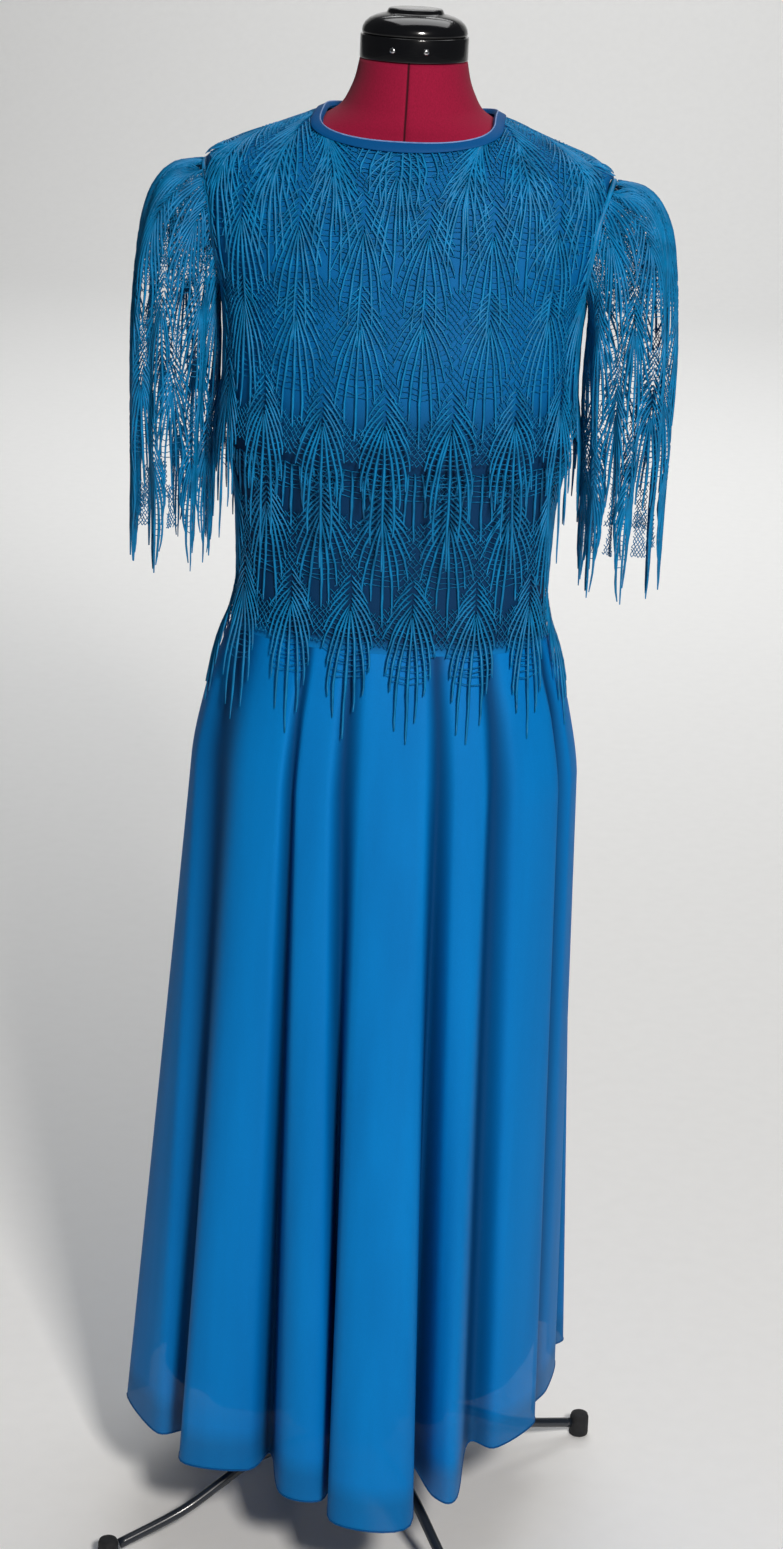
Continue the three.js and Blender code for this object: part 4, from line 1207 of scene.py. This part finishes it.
class GOWN_OT_fittings(bpy.types.Operator):
    """Makes the neck's band, cap and screws, and the pole, base and feet"""

    bl_idname = "gown.fittings"
    bl_label = "Fittings and stand"

    def execute(self, context):
        self.neck()
        self.stand()
        return {"FINISHED"}

    def neck(self):
        """The band round the neck, the domed cap and the screws."""
        low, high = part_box("neck_band")
        band = [(0, low.z), (high.x - 1.2 * MM, low.z), (high.x, low.z + 1.2 * MM)]
        band += [(high.x, high.z - 0.8 * MM), (high.x - 0.8 * MM, high.z), (0, high.z)]
        piece = new_piece("neck_ring", *lathe(band, 128), material_of("plastic"))
        round_edges(piece)
        settle(piece, "plastic", "neck_band")
        low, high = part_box("neck_cap")
        dome = [(r * MM, low.z + z * MM) for r, z in CAP_OUTLINE]
        piece = new_piece("neck_dome", *lathe(dome, 128), material_of("plastic"))
        round_edges(piece)
        settle(piece, "plastic", "neck_cap")
        for side in ("left", "right"):
            self.screw(side)

    def screw(self, side):
        """A pan head with a cross recess, seen end on."""
        low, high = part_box(f"band_screw_{side}")
        middle = (low + high) / 2
        outward = Vector((middle.x, middle.y, 0)).normalized()
        radius, stand = SCREW_RADIUS, SCREW_STAND
        head = [(0, 0), (radius, 0), (radius, 0.5 * MM), (radius * 0.86, 1.1 * MM)]
        head += [(radius * 0.5, stand), (0, stand)]
        vertices, faces = lathe(head, 32)
        turn = Vector((0, 0, 1)).rotation_difference(outward)
        base = middle - outward * stand / 2
        placed = [base + turn @ Vector(v) for v in vertices]
        piece = new_piece(f"screw_head_{side}", placed, faces, material_of("screw"))
        settle(piece, "screw", f"band_screw_{side}")
        corners, faces = [], []
        for way in (45 * DEG, 135 * DEG):
            along = Vector((math.cos(way), math.sin(way), 0)) * radius * 0.5
            beside = Vector((-math.sin(way), math.cos(way), 0)) * 0.34 * MM
            first = len(corners)
            for z in (stand - 0.3 * MM, stand + 0.04 * MM):
                ends = [along + beside, -along + beside, -along - beside, along - beside]
                corners += [base + turn @ (end + Vector((0, 0, z))) for end in ends]
            faces += [(first + 3, first + 2, first + 1, first), tuple(range(first + 4, first + 8))]
            for k in range(4):
                after = (k + 1) % 4
                faces.append((first + k, first + after, first + 4 + after, first + 4 + k))
        recess = new_piece(
            f"screw_recess_{side}", corners, faces, material_of("plastic"), smooth=False
        )
        settle(recess, "plastic")

    def stand(self):
        """The pole, the hub, and the legs with their feet."""
        low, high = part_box("pole")
        pole = [(0, low.z), (high.x - 0.6 * MM, low.z), (high.x, low.z + 0.6 * MM)]
        pole += [(high.x, high.z - 0.6 * MM), (high.x - 0.6 * MM, high.z), (0, high.z)]
        settle(new_piece("stand_pole", *lathe(pole, 64), material_of("steel")), "steel", "pole")
        low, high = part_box("base_hub")
        hub = [(0, low.z), (high.x - 5 * MM, low.z), (high.x - 1 * MM, low.z + 2 * MM)]
        hub += [(high.x, low.z + 6 * MM), (high.x, high.z - 6 * MM), (high.x - 2 * MM, high.z - 2 * MM)]
        hub += [(high.x - 8 * MM, high.z), (0, high.z)]
        piece = new_piece("stand_hub", *lathe(hub, 96), material_of("steel"))
        round_edges(piece)
        settle(piece, "steel", "base_hub")
        for number in range(1, LEGS + 1):
            self.leg(number)

    def leg(self, number):
        """A bent leg and the foot that it ends in."""
        turn = (LEG_FIRST_TURN + 360 / LEGS * (number - 1)) * DEG
        way = np.array([math.sin(turn), -math.cos(turn)])
        radii = LEG_RUN[0] + (LEG_RUN[1] - LEG_RUN[0]) * LEG_RUN_SHARES
        levels = LEG_FALL[0] + (LEG_FALL[1] - LEG_FALL[0]) * LEG_FALL_SHARES
        at = np.linspace(0, 1, 40)
        route = smooth_curve(LEG_RUN_SHARES, np.stack([radii, levels], axis=1), at) * MM
        path = np.concatenate([route[:, :1] * way, route[:, 1:]], axis=1)
        leg = new_piece(f"stand_leg_{number}", *swept(path, LEG_RADIUS, 24), material_of("steel"))
        settle(leg, "steel", f"leg_{number}")
        low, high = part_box(f"foot_{number}")
        centre = (low + high) / 2
        r, tall = (high.x - low.x) / 2, high.z
        outline = [(0, 0), (r - 2 * MM, 0), (r - 0.4 * MM, 1 * MM), (r, 3 * MM), (r * 0.96, tall - 5 * MM)]
        outline += [(r * 0.86, tall - 1.5 * MM), (r * 0.6, tall), (0, tall)]
        vertices, faces = lathe(outline, 48, (centre.x, centre.y))
        foot = new_piece(f"stand_foot_{number}", vertices, faces, material_of("rubber"))
        settle(foot, "rubber", f"foot_{number}")


def round_edges(piece):
    """A small bevel on the sharp edges of a moulded piece, applied."""
    modifier = piece.modifiers.new("edges", "BEVEL")
    modifier.width, modifier.segments, modifier.limit_method = 0.35 * MM, 2, "ANGLE"
    with bpy.context.temp_override(object=piece, active_object=piece):
        bpy.ops.object.modifier_apply(modifier="edges")


class GOWN_OT_bodice(bpy.types.Operator):
    """Makes the crepe bodice under the lace"""

    bl_idname = "gown.bodice"
    bl_label = "Under-bodice"

    def execute(self, context):
        nodes = {-1: ["bodice_front"], 1: ["bodice_back_right", "bodice_back_left"]}
        for face, name in ((-1, "underbodice_front"), (1, "underbodice_back")):
            cloth = body_cloth(FIGURE, face, DROPPED_WAIST, SHOULDER_ROW)
            vertices, faces = shell(cloth.moved(BODICE_OUT), cloth.moved(BODICE_OUT - CREPE))
            piece = new_piece(name, vertices, faces, material_of("crepe"))
            settle(piece, "crepe", *nodes[face])
        return {"FINISHED"}


class GOWN_OT_lace(bpy.types.Operator):
    """Makes both lace tiers and the sleeves"""

    bl_idname = "gown.lace"
    bl_label = "Lace"

    def execute(self, context):
        pitch = context.scene.gown_settings.net_pitch
        self.tier(
            "upper", UPPER_TIER, UPPER_ROWS, lowest=1.088, top_shares=10, reference=SHOULDER_ROW,
            net_edge=0.236, pitch=pitch, seed=SEED, flat=(0.50, 0.40), area=0.18,
        )
        self.tier(
            "lower", LOWER_TIER, LOWER_ROWS, lowest=0.918, top_shares=0, reference=1.166,
            net_edge=0.160, pitch=pitch, seed=SEED + 10, flat=(0.46, 0.26), area=0.09,
        )
        for side, label in ((-1, "left"), (1, "right")):
            self.sleeve(side, label, pitch)
        return {"FINISHED"}

    def tier(self, label, profile, rows, lowest, top_shares, reference, net_edge, pitch, seed, flat, area):
        """The front and back of a tier. Its pattern is measured down from the reference height."""
        for face, part in ((-1, "front"), (1, "back")):
            cloth = body_cloth(profile, face, lowest, reference, top_shares)
            piece = make_lace(f"{label}_tier_{part}", cloth, rows, net_edge, pitch, LACE_OUT, seed + face)
            parts = [part] if face < 0 else ["back_right", "back_left"]
            settle(piece, "lace", *[f"{label}_lace_{part}" for part in parts])

    def sleeve(self, side, label, pitch):
        """A sleeve and the roll of its seam round the armhole."""
        cloth = sleeve_cloth(side)
        piece = make_lace(
            f"lace_sleeve_{label}", cloth, SLEEVE_ROWS, 0.2, 0.75 * pitch, 0.0, SEED + 40 + side,
            gathered_above=-0.035,
        )
        settle(piece, "lace", f"sleeve_{label}_front", f"sleeve_{label}_back")
        seam = Threads()
        line = armhole_seam(side, np.linspace(-math.pi, math.pi, 97)) - [side * 1.6 * MM, 0, 0]
        half = np.full((1, len(line)), 1.3 * MM)
        outward = np.broadcast_to([float(side), 0.0, 0.0], line.shape)
        seam.add(line[None], outward[None], half, 2 * half, 8, closed=True)
        roll = seam.piece(f"armhole_seam_{label}", material_of("lace"))
        settle(roll, "lace")


class GOWN_OT_binding(bpy.types.Operator):
    """Makes the neck binding and the covered buttons at the centre back"""

    bl_idname = "gown.binding"
    bl_label = "Binding and buttons"

    def execute(self, context):
        self.binding()
        for number in range(1, BUTTONS + 1):
            self.button(number)
        return {"FINISHED"}

    def binding(self):
        """The bias strip that is folded over the neckline, with the fold's pressed edge."""
        turn = np.linspace(-math.pi, math.pi, 181)
        heights = np.linspace(-0.02, 0.03, 101)
        face = np.where(np.cos(turn) > 0, -1, 1)
        middle = np.where(face < 0, NECKLINE.front, NECKLINE.back)
        start = middle + (NECKLINE.side - middle) * np.abs(np.sin(turn)) ** NECKLINE.power
        grid = FIGURE.point(turn[None, :], start[None, :] - heights[:, None])
        cloth = Cloth(grid, 0)
        steps = np.linalg.norm(np.diff(grid, axis=0), axis=2)
        along = np.vstack([np.zeros(len(turn)), np.cumsum(steps, axis=0)])
        along -= along[np.argmin(np.abs(heights))]
        rings = []
        for down, out in BINDING_SECTION:
            ring = []
            for j in range(len(turn)):
                at = np.interp(down * MM, along[:, j], np.arange(len(heights)))
                low = min(int(at), len(heights) - 2)
                share = at - low
                point = grid[low, j] * (1 - share) + grid[low + 1, j] * share
                normal = cloth.normals[low, j] * (1 - share) + cloth.normals[low + 1, j] * share
                ring.append(point + normal * out * MM)
            rings.append(ring)
        rings = np.array(rings + [rings[0]])
        rings[:, -1] = rings[:, 0]
        faces = grid_faces(*rings.shape[:2], flip=True)
        piece = new_piece("neck_bias_strip", rings.reshape(-1, 3), faces, material_of("binding"))
        settle(piece, "binding", "neck_binding")
        # The pressed fold's cord carries the painted highlight of the fold's edge.
        edge = Threads()
        half = np.full((1, len(turn)), 0.7 * MM)
        edge.add(rings[BINDING_FOLD][None], cloth.normals[0][None], half, half, 6, closed=True)
        fold = edge.piece("neck_pressed_fold", material_of("edge"))
        settle(fold, "binding")

    def button(self, number):
        """A covered button: a domed cloth cap gathered over a ring, with a soft rim."""
        low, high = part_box(f"button_{number}")
        centre = (low + high) / 2
        normal = Vector((0, 1, 0.25 if number == 1 else 0)).normalized()
        r, thick = BUTTON_RADIUS, BUTTON_THICK
        profile = [(0, 0), (r * 0.8, 0), (r * 0.97, 0.5 * MM), (r, 1.1 * MM), (r * 0.95, 1.8 * MM)]
        profile += [(r * 0.75, 2.7 * MM), (r * 0.4, 3.3 * MM), (0, thick)]
        vertices, faces = lathe(profile, 40)
        turn = Vector((0, 0, 1)).rotation_difference(normal)
        base = centre - normal * thick / 2
        placed = [base + turn @ Vector(v) for v in vertices]
        piece = new_piece(f"covered_button_{number}", placed, faces, material_of("binding"))
        settle(piece, "binding", f"button_{number}")


def closed_spline(points, at):
    """A smooth closed curve through plan points, at places counted in points."""
    points = np.asarray(points, float)
    count = len(points)
    k = np.floor(at).astype(int)
    t = (at - k)[..., None]
    p0, p1, p2, p3 = (points[(k + shift) % count] for shift in (-1, 0, 1, 2))
    return 0.5 * (
        2 * p1 + (p2 - p0) * t + (2 * p0 - 5 * p1 + 4 * p2 - p3) * t**2 + (3 * p1 - p0 - 3 * p2 + p3) * t**3
    )


FOLD_LINES = [line for fold in FOLDS for line in fold]
HEM_POINTS = [(line.x, line.y) for line in FOLD_LINES]
HOLLOW_POINTS = [(fold.hollow.x, fold.hollow.y) for fold in FOLDS]


def line_of(fold):
    """Places going round are counted in folds: a whole number is the middle of a fold's ridge, and a half
    is its hollow. This gives the place among the folds' lines."""
    return 3 * fold + 0.5


def fold_turn(fold):
    """The angle at which places going round leave the waist seam."""
    turns = np.array([line.turn for line in FOLD_LINES] + [FOLD_LINES[0].turn + 360.0])
    turns = np.append(turns, FOLD_LINES[1].turn + 360.0)
    return np.interp(line_of(fold), np.arange(len(turns)), turns) * DEG


def ridge_share(fold):
    """1 on a fold's ridge and 0 in its hollow."""
    from_hollow = np.minimum(1, 3 * np.abs(fold % 1 - 0.5))
    return np.sin(QUARTER * from_hollow) ** 2


def skirt_grid(fold, heights, out, rise, hem):
    """Rows of a skirt layer: round the figure above the hip, and straight from there to the hem's plan."""
    turn = fold_turn(fold)
    ridge = ridge_share(fold)
    rows = []
    for z in heights:
        below_seam = min(1, max(0, (DROPPED_WAIST - z) / (DROPPED_WAIST - HIP)))
        share = max(0, (HIP - z) / (HIP - SKIRT_HEM))
        flat = FIGURE.point(turn, max(z, HIP))[:, :2]
        outward = np.gradient(flat, axis=0)[:, ::-1] * [1, -1]
        outward /= np.linalg.norm(outward, axis=1, keepdims=True)
        lift = out + ridge * (FOLD_RISE_SEAM + (rise - FOLD_RISE_SEAM) * below_seam if rise else 0)
        over_seam = max(0, (z - DROPPED_WAIST) / SKIRT_TURNING)
        lift = lift * (1 - over_seam) + (BODICE_OUT + 0.5 * MM) * over_seam
        plan = (flat + outward * lift[:, None]) * (1 - share) + hem * share
        rows.append(np.concatenate([plan, np.full((len(fold), 1), z)], axis=1))
    return np.array(rows)


class GOWN_OT_skirt(bpy.types.Operator):
    """Makes the chiffon skirt, its rolled hem and its lining"""

    bl_idname = "gown.skirt"
    bl_label = "Skirt"

    def execute(self, context):
        settings = context.scene.gown_settings
        fold = np.linspace(0, len(FOLDS), len(FOLDS) * settings.skirt_columns + 1)
        self.chiffon(fold, settings.skirt_rows)
        self.lining(fold)
        return {"FINISHED"}

    def chiffon(self, fold, rows):
        """The outer skirt, one sheet with a rolled hem."""
        hem = closed_spline(HEM_POINTS, line_of(fold)) * MM
        above = np.linspace(DROPPED_WAIST + SKIRT_TURNING, DROPPED_WAIST, 5, endpoint=False)
        heights = np.concatenate([above, np.linspace(DROPPED_WAIST, SKIRT_HEM, rows)])
        grid = skirt_grid(fold, heights, SKIRT_OUT, FOLD_RISE_HIP, hem)
        faces = grid_faces(*grid.shape[:2])
        piece = new_piece("chiffon_skirt", grid.reshape(-1, 3), faces, material_of("chiffon"))
        # fold_depth is 1 in the hollows, where the chiffon's material paints shade.
        depth = np.broadcast_to(1 - ridge_share(fold), grid.shape[:2])
        piece.data.attributes.new("fold_depth", "FLOAT", "POINT").data.foreach_set("value", depth.ravel())
        settle(piece, "chiffon", "skirt_front", "skirt_back_right", "skirt_back_left")
        edge = grid[-1]
        roll = Threads()
        up = np.broadcast_to([0.0, 0.0, 1.0], edge.shape)
        half = np.full((1, len(edge)), 0.7 * MM)
        roll.add(edge[None], up[None], half, half * 1.6, 6, closed=True)
        hem_piece = roll.piece("skirt_rolled_hem", material_of("binding"))
        settle(hem_piece, "chiffon")

    def lining(self, fold):
        """The shorter layer inside, with shallower folds."""
        ridges = closed_spline(HEM_POINTS, line_of(fold))
        hollows = closed_spline(HOLLOW_POINTS, fold - 0.5)
        hem = (hollows * (1 - LINING_RIDGE) + ridges * LINING_RIDGE) * MM
        far = np.linalg.norm(hem, axis=1, keepdims=True)
        hem = hem * (far - LINING_INSET) / far
        heights = np.linspace(DROPPED_WAIST, LINING_HEM, 48)
        outer = skirt_grid(fold, heights, LINING_OUT, 0, hem)
        cloth = Cloth(outer, DROPPED_WAIST)
        vertices, faces = shell(outer, outer - cloth.normals * 0.6 * MM, closed=True)
        piece = new_piece("lining_skirt", vertices, faces, material_of("lining"))
        settle(piece, "lining", "skirt_lining_front", "skirt_lining_back_right", "skirt_lining_back_left")


class GOWN_OT_stage(bpy.types.Operator):
    """Makes the floor, the lights and the camera"""

    bl_idname = "gown.stage"
    bl_label = "Stage"

    def execute(self, context):
        settings = context.scene.gown_settings
        # A floor that turns up into a wall behind, on a wide curve, far enough back to walk round the gown.
        half, behind, curve, tall = settings.floor_size / 2, 7.4, 1.6, 6.0
        turn = np.linspace(0, QUARTER, 17)
        line = [(-half, 0.0)] + [(behind + curve * math.sin(t), curve * (1 - math.cos(t))) for t in turn]
        line.append((behind + curve, tall))
        corners = [(x, y, z) for y, z in line for x in (-half, half)]
        quads = [(2 * k, 2 * k + 1, 2 * k + 3, 2 * k + 2) for k in range(len(line) - 1)]
        new_piece("floor", corners, quads, material_of("floor"))
        self.world()
        power = settings.key_power
        self.light("key", (1.15, -3.0, 2.8), (0, 0, 0.9), 0.5, power, "fffaf4")
        self.light("overhead", (0.2, 1.3, 3.6), (0, 1.9, 0), 2.4, power * 0.35, "ffffff")
        self.light("behind", (0, 4.6, 4.6), (0, 7.2, 0.2), 3.0, power * 1.5, "ffffff")
        context.scene.view_settings.view_transform = "Standard"
        self.camera()
        return {"FINISHED"}

    def world(self):
        """A faint even light from all round."""
        world = bpy.data.worlds.new("studio")
        world.use_nodes = True
        background = world.node_tree.nodes["Background"]
        background.inputs["Color"].default_value = linear("f2f5fa")
        background.inputs["Strength"].default_value = 0.05
        bpy.context.scene.world = world

    def light(self, name, place, target, size, power, colour):
        """A square lamp that points at a target."""
        data = bpy.data.lights.new(name, "AREA")
        data.shape, data.size, data.energy = "SQUARE", size, power
        data.color = linear(colour)[:3]
        lamp = bpy.data.objects.new(name, data)
        lamp.location = place
        lamp.rotation_mode = "QUATERNION"
        lamp.rotation_quaternion = (Vector(target) - Vector(place)).to_track_quat("-Z", "Y")
        bpy.context.scene.collection.objects.link(lamp)

    def camera(self):
        """Above the gown's waist, a little to the right, tipped down and rolled as a hand leans."""
        data = bpy.data.cameras.new("camera")
        data.lens, data.sensor_width = 66.2, 36
        camera = bpy.data.objects.new("camera", data)
        around, far, height, tip, roll = 5 * DEG, 2.70, 1.80, 19.5 * DEG, 2.48 * DEG
        place = Vector((far * math.sin(around), -far * math.cos(around), height))
        # The pole stands a little left of the view's middle.
        yaw = around - 0.17 * DEG
        forward = Vector((-math.sin(yaw) * math.cos(tip), math.cos(yaw) * math.cos(tip), -math.sin(tip)))
        right = forward.cross(Vector((0, 0, 1))).normalized()
        up = right.cross(forward)
        rolled_up = up * math.cos(roll) - right * math.sin(roll)
        rolled_right = right * math.cos(roll) + up * math.sin(roll)
        turn = Matrix((rolled_right, rolled_up, -forward)).transposed()
        camera.matrix_world = Matrix.Translation(place) @ turn.to_4x4()
        bpy.context.scene.collection.objects.link(camera)
        bpy.context.scene.camera = camera


class GOWN_PT_panel(bpy.types.Panel):
    """Lists the gown's operators"""

    bl_idname = "GOWN_PT_panel"
    bl_label = "Gown"
    bl_space_type = "VIEW_3D"
    bl_region_type = "UI"
    bl_category = "Gown"

    def draw(self, context):
        settings = context.scene.gown_settings
        for name in GownSettings.__annotations__:
            self.layout.prop(settings, name)
        for operator in OPERATORS:
            self.layout.operator(operator.bl_idname)


OPERATORS = (
    GOWN_OT_form,
    GOWN_OT_fittings,
    GOWN_OT_bodice,
    GOWN_OT_lace,
    GOWN_OT_binding,
    GOWN_OT_skirt,
    GOWN_OT_stage,
)


def register():
    MADE.clear()
    for cls in (GownSettings, *OPERATORS, GOWN_PT_panel):
        bpy.utils.register_class(cls)
    bpy.types.Scene.gown_settings = bpy.props.PointerProperty(type=GownSettings)


def unregister():
    del bpy.types.Scene.gown_settings
    for cls in reversed((GownSettings, *OPERATORS, GOWN_PT_panel)):
        bpy.utils.unregister_class(cls)


def main():
    register()
    bpy.ops.gown.form()
    bpy.ops.gown.fittings()
    bpy.ops.gown.bodice()
    bpy.ops.gown.lace()
    bpy.ops.gown.binding()
    bpy.ops.gown.skirt()
    bpy.ops.gown.stage()


if __name__ == "__main__":
    main()
